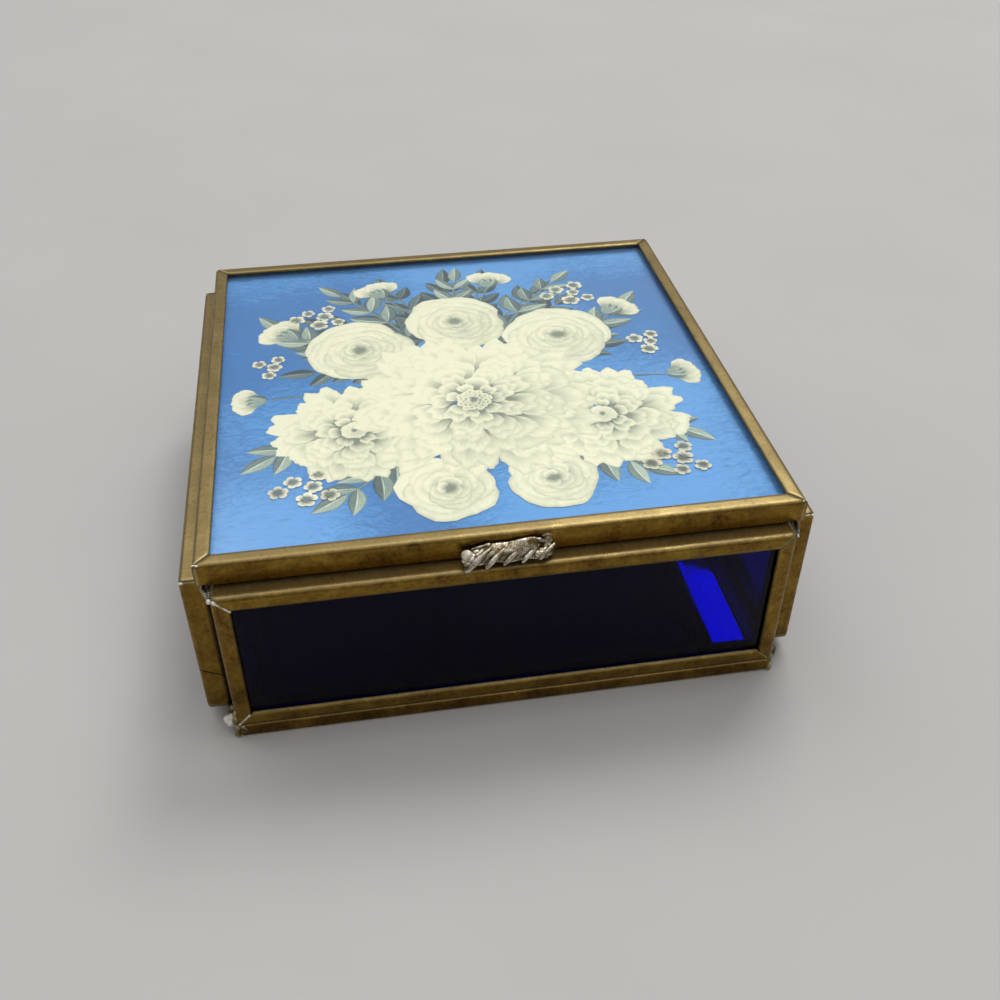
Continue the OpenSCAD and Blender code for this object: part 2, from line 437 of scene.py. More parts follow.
        # draw lines are about 0.1 mm apart in real channel; 0.35 mm lets them show
        lines = add(tree, "ShaderNodeTexNoise", {"Vector": lines_at.outputs[0],
                    "Scale": per(self.line_mm), "Detail": 3.0, "Roughness": 0.6})
        specks = add(tree, "ShaderNodeTexNoise", {"Vector": moved.outputs[0],
                     "Scale": per(self.speck_mm), "Detail": 5.0, "Roughness": 0.75})
        # a hand-bent length waves by about a tenth of a millimetre every 10 mm or so
        wave = add(tree, "ShaderNodeTexNoise", {"Vector": moved.outputs[0],
                   "Scale": per(self.wave_mm), "Detail": 1.0})
        return {"cloud": cloud.outputs["Fac"], "lines": lines.outputs["Fac"],
                "specks": specks.outputs["Fac"], "wave": wave.outputs["Fac"]}

    def relief(self, tree: bpy.types.NodeTree, of: dict[str, bpy.types.NodeSocket],
               normal: bpy.types.NodeSocket) -> bpy.types.NodeSocket:
        """Raises the wave, the draw lines and the specks.

        Args:
            tree: the node tree to add to.
            of: the noises.
            normal: the normal below them.

        Returns:
            The normal with all three on it.
        """
        for height, strength, depth_mm in (("wave", 1.0, 0.28), ("lines", 0.5, 0.008),
                                           ("specks", 0.6, 0.02)):
            normal = add(tree, "ShaderNodeBump", {"Height": of[height], "Strength": strength,
                         "Distance": depth_mm * MM, "Normal": normal}).outputs[0]
        return normal

    def make(self) -> bpy.types.Material:
        """Builds the material.

        Returns:
            The finish, ready to dress a piece with.
        """
        material, tree = fresh_material(self.name)
        place = add(tree, "ShaderNodeTexCoord")
        of = self.patterns(tree, place.outputs["Object"])
        aged = add(tree, "ShaderNodeMath", {0: of["cloud"], 1: 0.5}, operation="MULTIPLY")
        drawn = add(tree, "ShaderNodeMath", {0: of["lines"], 1: 0.12, 2: aged.outputs[0]},
                    operation="MULTIPLY_ADD")
        age = add(tree, "ShaderNodeMath", {0: of["specks"], 1: 0.38, 2: drawn.outputs[0]},
                  operation="MULTIPLY_ADD")
        tone = add(tree, "ShaderNodeValToRGB", {"Fac": age.outputs[0]},
                   stops=[(0.34, self.grime), (0.44, self.tarnish), (0.6, self.clean)])
        # painted light: faces that point up are painted paler than the upright faces, as if lit
        # from above
        flat = add(tree, "ShaderNodeSeparateXYZ", {0: place.outputs["Normal"]})
        upward = add(tree, "ShaderNodeMapRange", {"Value": flat.outputs[2], "From Min": 0.45,
                     "From Max": 1.0, "To Min": 0.0, "To Max": 0.95})
        lit_top = add(tree, "ShaderNodeMath", {0: upward.outputs[0], 1: of["specks"]},
                   operation="MULTIPLY")
        lit_top = add(tree, "ShaderNodeMath", {0: lit_top.outputs[0], 1: 1.5}, operation="MULTIPLY",
                   use_clamp=True)
        tone = add(tree, "ShaderNodeMix", {0: lit_top.outputs[0], 6: tone.outputs[0],
                   7: linear(self.lit_top_tone)}, data_type="RGBA")
        # the bend of a hand-drawn channel is soft, so its normals are rounded a little way in
        soft = add(tree, "ShaderNodeBevel", {"Radius": self.bend_mm * MM}, samples=8)
        # painted highlight over real rubbing: an edge is painted pale, and made glossier, where
        # that rounded normal departs from the true one
        true = add(tree, "ShaderNodeNewGeometry")
        facing = add(tree, "ShaderNodeVectorMath", {0: soft.outputs[0], 1: true.outputs["Normal"]},
                     operation="DOT_PRODUCT")
        edge = add(tree, "ShaderNodeMapRange", {"Value": facing.outputs["Value"], "From Min": 0.992,
                   "From Max": 0.8, "To Min": 0.0, "To Max": 0.95})
        worn_and_lit = add(tree, "ShaderNodeMath", {0: edge.outputs[0], 1: of["cloud"]},
                   operation="MULTIPLY")
        colour = add(tree, "ShaderNodeMix", {0: worn_and_lit.outputs[0], 6: tone.outputs[2],
                     7: linear(self.rubbed_and_highlight)}, data_type="RGBA")
        tinted = self.grime_and_shade(tree, place.outputs["Object"], of["specks"], colour.outputs[2])
        dull = add(tree, "ShaderNodeMapRange", {"Value": age.outputs[0], "From Min": 0.38,
                   "From Max": 0.6, "To Min": self.gloss + 0.16, "To Max": self.gloss})
        rough = add(tree, "ShaderNodeMath", {0: worn_and_lit.outputs[0], 1: -0.22, 2: dull.outputs[0]},
                    operation="MULTIPLY_ADD")
        # the thin dull film on what faces up scatters some light
        film = add(tree, "ShaderNodeMapRange", {"Value": lit_top.outputs[0], "From Min": 0.0,
                   "From Max": 1.0, "To Min": 1.0, "To Max": 0.7})
        shader = add(tree, "ShaderNodeBsdfPrincipled", {"Base Color": tinted,
                     "Metallic": film.outputs[0], "Roughness": rough.outputs[0],
                     "Normal": self.relief(tree, of, soft.outputs[0])})
        add(tree, "ShaderNodeOutputMaterial", {"Surface": shader.outputs[0]})
        return material


@dataclass(frozen=True)
class SoftSolder:
    """Tin-lead solder, run by hand and left as it set.

    It gives a dull silver skin that ripples, with brown flux in its low spots.
    """

    name: str
    bright: str = "#c9c6b8"
    dull: str = "#8d8a7e"
    flux: str = "#5d4f30"
    cloud_mm: float = 1.3
    grain_mm: float = 0.25
    gloss: float = 0.26
    drowned: float = 0.2
    metal: float = 1.0

    def make(self) -> bpy.types.Material:
        """Builds the material.

        Returns:
            The finish, ready to dress a piece with.
        """
        material, tree = fresh_material(self.name)
        place = add(tree, "ShaderNodeTexCoord")
        crest = add(tree, "ShaderNodeAttribute", attribute_name="crest")
        cloud = add(tree, "ShaderNodeTexNoise", {"Vector": place.outputs["Object"],
                    "Scale": per(self.cloud_mm), "Detail": 4.0, "Roughness": 0.65})
        # flux runs off the crests and gathers in the hollows
        shown = add(tree, "ShaderNodeMath", {0: crest.outputs["Fac"], 1: self.drowned,
                    2: cloud.outputs["Fac"]}, operation="MULTIPLY_ADD")
        grain = add(tree, "ShaderNodeTexNoise", {"Vector": place.outputs["Object"],
                    "Scale": per(self.grain_mm), "Detail": 2.0})
        tone = add(tree, "ShaderNodeValToRGB", {"Fac": shown.outputs[0]},
                   stops=[(0.34, self.flux), (0.47, self.dull), (0.66, self.bright)])
        rough = add(tree, "ShaderNodeMapRange", {"Value": shown.outputs[0], "From Min": 0.35,
                    "From Max": 0.65, "To Min": self.gloss + 0.22, "To Max": self.gloss})
        bump_a = add(tree, "ShaderNodeBump", {"Height": cloud.outputs["Fac"], "Strength": 0.8,
                     "Distance": 0.12 * MM})
        bump_b = add(tree, "ShaderNodeBump", {"Height": grain.outputs["Fac"], "Strength": 0.4,
                     "Distance": 0.02 * MM, "Normal": bump_a.outputs[0]})
        shader = add(tree, "ShaderNodeBsdfPrincipled", {"Base Color": tone.outputs[0],
                     "Metallic": self.metal, "Roughness": rough.outputs[0],
                     "Normal": bump_b.outputs[0]})
        add(tree, "ShaderNodeOutputMaterial", {"Surface": shader.outputs[0]})
        return material


@dataclass(frozen=True)
class SheetGlass:
    """Flat sheet glass, rolled or drawn, clear or coloured through.

    It gives a sharp reflection with a slow ripple and a few finger smears, and tints what is seen
    through it. Shadow rays pass it as tinted light, so the pieces behind it are lit.
    """

    name: str
    tint: str
    shade: str
    ripple_mm: float = 9.0
    ripple: float = 0.02
    gloss: float = 0.01
    smear_mm: float = 14.0
    smear: float = 0.06
    mirroring: float = 1.0

    def make(self) -> bpy.types.Material:
        """Builds the material.

        Returns:
            The finish, ready to dress a piece with.
        """
        material, tree = fresh_material(self.name)
        place = add(tree, "ShaderNodeTexCoord")
        slow = add(tree, "ShaderNodeTexNoise", {"Vector": place.outputs["Object"],
                   "Scale": per(self.ripple_mm), "Detail": 1.0})
        smears = add(tree, "ShaderNodeTexNoise", {"Vector": place.outputs["Object"],
                     "Scale": per(self.smear_mm), "Detail": 6.0, "Roughness": 0.7,
                     "Distortion": 1.5})
        rough = add(tree, "ShaderNodeMapRange", {"Value": smears.outputs["Fac"], "From Min": 0.5,
                    "From Max": 0.75, "To Min": self.gloss, "To Max": self.gloss + self.smear})
        tone = add(tree, "ShaderNodeMix", {0: smears.outputs["Fac"], 6: linear(self.tint),
                   7: linear(self.shade)}, data_type="RGBA")
        bump = add(tree, "ShaderNodeBump", {"Height": slow.outputs["Fac"], "Strength": 1.0,
                   "Distance": self.ripple * MM})
        body = add(tree, "ShaderNodeBsdfPrincipled", {"Base Color": tone.outputs[2], "IOR": 1.52,
                   "Transmission Weight": 1.0, "Roughness": rough.outputs[0],
                   "Specular Tint": (self.mirroring,) * 3 + (1.0,),
                   "Normal": bump.outputs[0]})
        through = add(tree, "ShaderNodeBsdfTransparent", {"Color": linear(self.tint)})
        path = add(tree, "ShaderNodeLightPath")
        both = add(tree, "ShaderNodeMixShader", {0: path.outputs["Is Shadow Ray"],
                   1: body.outputs[0], 2: through.outputs[0]})
        add(tree, "ShaderNodeOutputMaterial", {"Surface": both.outputs[0]})
        return material


@dataclass(frozen=True)
class SilveredMirror:
    """Thin mirror glass with its silvering behind: a cool, sharp reflection with faint haze."""

    name: str
    silver: str = "#cdd4d8"
    haze: str = "#9aa3a8"
    haze_mm: float = 16.0

    def make(self) -> bpy.types.Material:
        """Builds the material.

        Returns:
            The finish, ready to dress a piece with.
        """
        material, tree = fresh_material(self.name)
        place = add(tree, "ShaderNodeTexCoord")
        cloud = add(tree, "ShaderNodeTexNoise", {"Vector": place.outputs["Object"],
                    "Scale": per(self.haze_mm), "Detail": 6.0, "Roughness": 0.7})
        tone = add(tree, "ShaderNodeValToRGB", {"Fac": cloud.outputs["Fac"]},
                   stops=[(0.3, self.haze), (0.5, self.silver)])
        rough = add(tree, "ShaderNodeMapRange", {"Value": cloud.outputs["Fac"], "From Min": 0.55,
                    "From Max": 0.35, "To Min": 0.02, "To Max": 0.12})
        shader = add(tree, "ShaderNodeBsdfPrincipled", {"Base Color": tone.outputs[0],
                     "Metallic": 1.0, "Roughness": rough.outputs[0]})
        add(tree, "ShaderNodeOutputMaterial", {"Surface": shader.outputs[0]})
        return material


@dataclass(frozen=True)
class LiningCard:
    """Dark grey pulp card behind the print: matte and fibrous, with paler patches painted in as
    light bounced onto it, which also read as rubbing.
    """

    name: str
    card: str = "#4a4a54"
    worn_and_lit: str = "#8c8c98"
    fibre: str = "#7e7e8a"
    fibre_mm: float = 0.6
    patch_mm: float = 26.0

    def make(self) -> bpy.types.Material:
        """Builds the material.

        Returns:
            The finish, ready to dress a piece with.
        """
        material, tree = fresh_material(self.name)
        place = add(tree, "ShaderNodeTexCoord")
        fibres = add(tree, "ShaderNodeTexNoise", {"Vector": place.outputs["Object"],
                     "Scale": per(self.fibre_mm), "Detail": 5.0, "Roughness": 0.75,
                     "Distortion": 2.0})
        tone = add(tree, "ShaderNodeValToRGB", {"Fac": fibres.outputs["Fac"]},
                   stops=[(0.45, self.card), (0.7, self.fibre)])
        # painted light: paler patches stand in for light bounced onto the card, and read as rubbing
        # too
        cloud = add(tree, "ShaderNodeTexNoise", {"Vector": place.outputs["Object"],
                    "Scale": per(self.patch_mm), "Detail": 4.0, "Roughness": 0.65})
        lit_patches = add(tree, "ShaderNodeMapRange", {"Value": cloud.outputs["Fac"], "From Min": 0.4,
                    "From Max": 0.7, "To Min": 0.0, "To Max": 0.4})
        tone = add(tree, "ShaderNodeMix", {0: lit_patches.outputs[0], 6: tone.outputs[0],
                   7: linear(self.worn_and_lit)}, data_type="RGBA")
        bump = add(tree, "ShaderNodeBump", {"Height": fibres.outputs["Fac"], "Strength": 0.5,
                   "Distance": 0.04 * MM})
        shader = add(tree, "ShaderNodeBsdfPrincipled", {"Base Color": tone.outputs[2],
                     "Roughness": 0.85, "Normal": bump.outputs[0]})
        add(tree, "ShaderNodeOutputMaterial", {"Surface": shader.outputs[0]})
        return material


@dataclass(frozen=True)
class WateredPaper:
    """Printed paper with a watered ground: soft blue with fine wavy marks, as on moire silk."""

    name: str
    pale: str = "#5b9be0"
    mid: str = "#468acf"
    deep: str = "#3574ba"
    sway_mm: float = 9.0
    sway: float = 0.006
    mark_mm: float = 0.7
    broad_mm: float = 40.0

    def make(self) -> bpy.types.Material:
        """Builds the material.

        Returns:
            The finish, ready to dress a piece with.
        """
        material, tree = fresh_material(self.name)
        place = add(tree, "ShaderNodeTexCoord")
        warp = add(tree, "ShaderNodeTexNoise", {"Vector": place.outputs["Object"],
                   "Scale": per(self.sway_mm), "Detail": 2.0})
        shift = add(tree, "ShaderNodeVectorMath", {0: warp.outputs["Color"],
                    1: (self.sway, self.sway, 0.0)}, operation="MULTIPLY")
        bent = add(tree, "ShaderNodeVectorMath", {0: place.outputs["Object"], 1: shift.outputs[0]},
                   operation="ADD")
        flat = add(tree, "ShaderNodeMapping", {"Vector": bent.outputs[0], "Scale": (0.3, 1.0, 1.0)})
        # real watering is about 0.3 mm wide; 0.7 mm lets it show at this size
        marks = add(tree, "ShaderNodeTexNoise", {"Vector": flat.outputs[0],
                    "Scale": per(self.mark_mm), "Detail": 4.0, "Roughness": 0.65,
                    "Distortion": 1.6})
        broad = add(tree, "ShaderNodeTexNoise", {"Vector": place.outputs["Object"],
                    "Scale": per(self.broad_mm), "Detail": 1.0})
        mixed = add(tree, "ShaderNodeMath", {0: marks.outputs["Fac"], 1: 0.6,
                    2: broad.outputs["Fac"]}, operation="MULTIPLY_ADD")
        tone = add(tree, "ShaderNodeValToRGB", {"Fac": mixed.outputs[0]},
                   stops=[(0.7, self.deep), (0.8, self.mid), (0.9, self.pale)])
        bump = add(tree, "ShaderNodeBump", {"Height": marks.outputs["Fac"], "Strength": 0.25,
                   "Distance": 0.01 * MM})
        shader = add(tree, "ShaderNodeBsdfPrincipled", {"Base Color": tone.outputs[0],
                     "Roughness": 0.5, "Specular IOR Level": 0.35, "Normal": bump.outputs[0]})
        add(tree, "ShaderNodeOutputMaterial", {"Surface": shader.outputs[0]})
        return material


class Ink(Enum):
    """What a printed shape is, which sets its veins."""

    PETAL = "petals"
    LEAF = "leaves"


@dataclass(frozen=True)
class PrintedInk:
    """Soft halftone ink on paper, shaded by the drawing's own tone from deep to light.

    It gives powdery gradients with fine strokes along each petal or veins across each leaf.
    """

    name: str
    ink: Ink
    deep: str
    mid: str
    light: str
    powder_mm: float = 0.8
    leaf_veins: float = 9.0

    def make(self) -> bpy.types.Material:
        """Builds the material.

        Returns:
            The finish, ready to dress a piece with.
        """
        material, tree = fresh_material(self.name)
        tone_at = add(tree, "ShaderNodeAttribute", attribute_name="tone")
        map_at = add(tree, "ShaderNodeUVMap", uv_map="drawn")
        place = add(tree, "ShaderNodeTexCoord")
        across = 9.0 if self.ink is Ink.PETAL else 2.0
        strokes_at = add(tree, "ShaderNodeMapping", {"Vector": map_at.outputs[0],
                         "Scale": (across, 1.3, 1.0)})
        strokes = add(tree, "ShaderNodeTexNoise", {"Vector": strokes_at.outputs[0], "Scale": 2.2,
                      "Detail": 4.0, "Roughness": 0.6})
        powder = add(tree, "ShaderNodeTexNoise", {"Vector": place.outputs["Object"],
                     "Scale": per(self.powder_mm), "Detail": 4.0, "Roughness": 0.7})
        one = add(tree, "ShaderNodeMath", {0: strokes.outputs["Fac"], 1: 0.34,
                  2: tone_at.outputs["Fac"]}, operation="MULTIPLY_ADD")
        two = add(tree, "ShaderNodeMath", {0: powder.outputs["Fac"], 1: 0.2, 2: one.outputs[0]},
                  operation="MULTIPLY_ADD")
        fac = add(tree, "ShaderNodeMath", {0: two.outputs[0], 1: 0.27}, operation="SUBTRACT")
        if self.ink is Ink.LEAF:
            part = add(tree, "ShaderNodeSeparateXYZ", {0: map_at.outputs[0]})
            side = add(tree, "ShaderNodeMath", {0: part.outputs[0], 1: 0.5}, operation="SUBTRACT")
            out = add(tree, "ShaderNodeMath", {0: side.outputs[0]}, operation="ABSOLUTE")
            slant = add(tree, "ShaderNodeMath", {0: out.outputs[0], 1: -0.5, 2: part.outputs[1]},
                        operation="MULTIPLY_ADD")
            count = add(tree, "ShaderNodeMath", {0: slant.outputs[0], 1: self.leaf_veins},
                        operation="MULTIPLY")
            turn = add(tree, "ShaderNodeMath", {0: count.outputs[0]}, operation="FRACT")
            vein = add(tree, "ShaderNodeMapRange", {"Value": turn.outputs[0], "From Min": 0.0,
                       "From Max": 0.22, "To Min": 0.2, "To Max": 0.0})
            rib = add(tree, "ShaderNodeMapRange", {"Value": out.outputs[0], "From Min": 0.02,
                      "From Max": 0.06, "To Min": 0.35, "To Max": 0.0})
            veins = add(tree, "ShaderNodeMath", {0: vein.outputs[0], 1: rib.outputs[0]},
                        operation="MAXIMUM")
            fac = add(tree, "ShaderNodeMath", {0: fac.outputs[0], 1: veins.outputs[0]},
                      operation="ADD")
        tone = add(tree, "ShaderNodeValToRGB", {"Fac": fac.outputs[0]},
                   stops=[(0.1, self.deep), (0.5, self.mid), (0.85, self.light)])
        shader = add(tree, "ShaderNodeBsdfPrincipled", {"Base Color": tone.outputs[0],
                     "Roughness": 0.5, "Specular IOR Level": 0.35})
        add(tree, "ShaderNodeOutputMaterial", {"Surface": shader.outputs[0]})
        return material


@dataclass(frozen=True)
class PaleFloor:
    """Smooth pale studio floor with a barely visible cloudiness."""

    name: str
    light: str = "#cdcbc8"
    shade: str = "#c4c2bf"
    cloud_mm: float = 60.0

    def make(self) -> bpy.types.Material:
        """Builds the material.

        Returns:
            The finish, ready to dress a piece with.
        """
        material, tree = fresh_material(self.name)
        place = add(tree, "ShaderNodeTexCoord")
        cloud = add(tree, "ShaderNodeTexNoise", {"Vector": place.outputs["Object"],
                    "Scale": per(self.cloud_mm), "Detail": 3.0})
        tone = add(tree, "ShaderNodeMix", {0: cloud.outputs["Fac"], 6: linear(self.light),
                   7: linear(self.shade)}, data_type="RGBA")
        shader = add(tree, "ShaderNodeBsdfPrincipled", {"Base Color": tone.outputs[2],
                     "Roughness": 0.7, "Specular IOR Level": 0.2})
        add(tree, "ShaderNodeOutputMaterial", {"Surface": shader.outputs[0]})
        return material


# ---------------------------------------------------------------- solder and the thumb lift


@dataclass(frozen=True)
class Blob:
    """One soft lump: centre and half sizes in millimetres, and turn about Z in degrees."""

    at: Point
    size: Point
    turn: float = 0.0


@dataclass
class Sculptor:
    """Melts lumps into one skin by a fine voxel remesh, then smooths and roughens it."""

    voxel: float = 0.09
    smooth: int = 6
    ripple: float = 0.05
    ripple_mm: float = 0.9
    blur_rounds: int = 14
    crest_mm: float = 0.05
    speck_faces: int = 100

    def crests(self, places: np.ndarray, normals: np.ndarray, edges: np.ndarray) -> np.ndarray:
        """Tells ridges from hollows by how far each point stands over the skin around it.

        Args:
            places: the skin's points, in millimetres.
            normals: their normals.
            edges: pairs of point numbers.

        Returns:
            About 1 on a sharp ridge, 0 on the flat and -1 in a groove.
        """
        here = np.concatenate([edges[:, 0], edges[:, 1]])
        there = np.concatenate([edges[:, 1], edges[:, 0]])
        count = len(places)
        around = np.maximum(np.bincount(here, minlength=count), 1)[:, None]
        level = places.copy()
        for _ in range(self.blur_rounds):
            total = np.stack([np.bincount(here, level[there, i], count) for i in range(3)], axis=1)
            level = 0.4 * level + 0.6 * total / around
        proud = ((places - level) * normals).sum(axis=1)
        return np.clip((proud - np.median(proud)) / self.crest_mm, -1.0, 1.0)

    def melt(self, name: str, blobs: Sequence[Blob],
             more: bpy.types.Mesh | None = None) -> bpy.types.Object:
        """Makes one closed mesh of the lumps.

        Args:
            name: the piece's name.
            blobs: the lumps, in the row frame, in millimetres.
            more: other closed shells to melt in with them, in millimetres too.

        Returns:
            The new object, in metres.
        """
        work = bmesh.new()
        for blob in blobs:
            place = (Matrix.Translation(blob.at) @ Matrix.Rotation(math.radians(blob.turn), 4, "Z")
                     @ Matrix.Diagonal((*blob.size, 1.0)))
            bmesh.ops.create_icosphere(work, subdivisions=3, radius=1.0, matrix=place)
        if more:
            work.from_mesh(more)
        mesh = bpy.data.meshes.new(name + "_rough")
        work.to_mesh(mesh)
        work.free()
        rough = bpy.data.objects.new(name + "_rough", mesh)
        bpy.context.scene.collection.objects.link(rough)
        remesh = rough.modifiers.new("melt", "REMESH")
        remesh.mode = "VOXEL"
        remesh.voxel_size = self.voxel
        relax = rough.modifiers.new("relax", "SMOOTH")
        relax.factor = 0.5
        relax.iterations = self.smooth
        skin = evaluated_copy(rough)
        bpy.data.objects.remove(rough)
        clean(skin, least=self.speck_faces)
        count = len(skin.vertices)
        places = np.empty(count * 3)
        normals = np.empty(count * 3)
        skin.vertices.foreach_get("co", places)
        skin.vertices.foreach_get("normal", normals)
        places, normals = places.reshape(-1, 3), normals.reshape(-1, 3)
        lift = np.array([noise.noise(Vector(p) / self.ripple_mm) for p in places])
        edges = np.empty(len(skin.edges) * 2, dtype=int)
        skin.edges.foreach_get("vertices", edges)
        crest = self.crests(places, normals, edges.reshape(-1, 2))
        places = (places + normals * (lift * self.ripple)[:, None]) * MM
        skin.vertices.foreach_set("co", places.ravel())
        skin.attributes.new("crest", "FLOAT", "POINT").data.foreach_set("value", crest)
        skin.polygons.foreach_set("use_smooth", [True] * len(skin.polygons))
        skin.update()
        made = bpy.data.objects.new(name, skin)
        bpy.context.scene.collection.objects.link(made)
        return made


def taper(start: Point, end: Point, first: float, last: float, steps: int = 9) -> list[Blob]:
    """A row of lumps that melts to a strand, from its first radius to its last.

    Args:
        start: one end's centre, in millimetres.
        end: the other end's centre.
        first: radius at the start.
        last: radius at the end.
        steps: how many steps the row takes.

    Returns:
        The lumps.
    """
    row = []
    for i in range(steps + 1):
        s = i / steps
        radius = first + (last - first) * s
        row.append(Blob(tuple(a + (b - a) * s for a, b in zip(start, end)), (radius,) * 3))
    return row


@dataclass
class RibRow:
    """Equal ribs at an even pitch, set out by Geometry Nodes. Sizes are in millimetres."""

    count: int
    start: Point
    step: Point
    shrink: float = 0.0
    wobble: float = 0.07
    seed: int = 3

    def tree(self) -> bpy.types.NodeTree:
        """Builds the node tree: one rib in, a row of slightly turned ribs out, as one real mesh.

        Returns:
            The tree.
        """
        tree = new_group("rib_row", (("Count", "Int"), ("Start", "Vector"), ("Step", "Vector"),
                                     ("Shrink", "Float"), ("Wobble", "Float"), ("Seed", "Int"),
                                     ("Finish", "Material")))
        given = add(tree, "NodeGroupInput")
        row = add(tree, "GeometryNodeMeshLine", {"Count": given.outputs["Count"],
                  "Start Location": given.outputs["Start"], "Offset": given.outputs["Step"]},
                  mode="OFFSET")
        back = add(tree, "ShaderNodeMath", {0: given.outputs["Wobble"], 1: -1.0},
                   operation="MULTIPLY")
        turn = add(tree, "FunctionNodeRandomValue", {0: back.outputs[0],
                   1: given.outputs["Wobble"], "Seed": given.outputs["Seed"]},
                   data_type="FLOAT_VECTOR")
        small = add(tree, "ShaderNodeMath", {0: 1.0, 1: given.outputs["Wobble"]},
                    operation="SUBTRACT")
        size = add(tree, "FunctionNodeRandomValue", {2: small.outputs[0], 3: 1.0,
                   "Seed": given.outputs["Seed"]}, data_type="FLOAT")
        number = add(tree, "GeometryNodeInputIndex")
        less = add(tree, "ShaderNodeMath", {0: number.outputs[0], 1: given.outputs["Shrink"]},
                   operation="MULTIPLY")
        size = add(tree, "ShaderNodeMath", {0: size.outputs[1], 1: less.outputs[0]},
                   operation="SUBTRACT")
        placed = add(tree, "GeometryNodeInstanceOnPoints", {"Points": row.outputs[0],
                     "Instance": given.outputs["Geometry"], "Rotation": turn.outputs[0],
                     "Scale": size.outputs[0]})
        real = add(tree, "GeometryNodeRealizeInstances", {0: placed.outputs[0]})
        done = add(tree, "GeometryNodeSetMaterial", {"Geometry": real.outputs[0],
                   "Material": given.outputs["Finish"]})
        add(tree, "NodeGroupOutput", {0: done.outputs[0]})
        return tree

    def run(self, rib: Sequence[Blob], finish: bpy.types.Material) -> bpy.types.Mesh:
        """Repeats one rib.

        Args:
            rib: its lumps, about its own middle.
            finish: its finish.

        Returns:
            The row as a plain mesh, in millimetres.
        """
        holder = Sculptor(voxel=0.09, smooth=2, ripple=0.0).melt("rib", rib)
        holder.data.transform(Matrix.Scale(1 / MM, 4))
        row = run_group(holder, self.tree(), {
            "Count": self.count, "Start": self.start, "Step": self.step, "Shrink": self.shrink,
            "Wobble": self.wobble, "Seed": self.seed, "Finish": finish})
        bpy.data.objects.remove(holder)
        return row


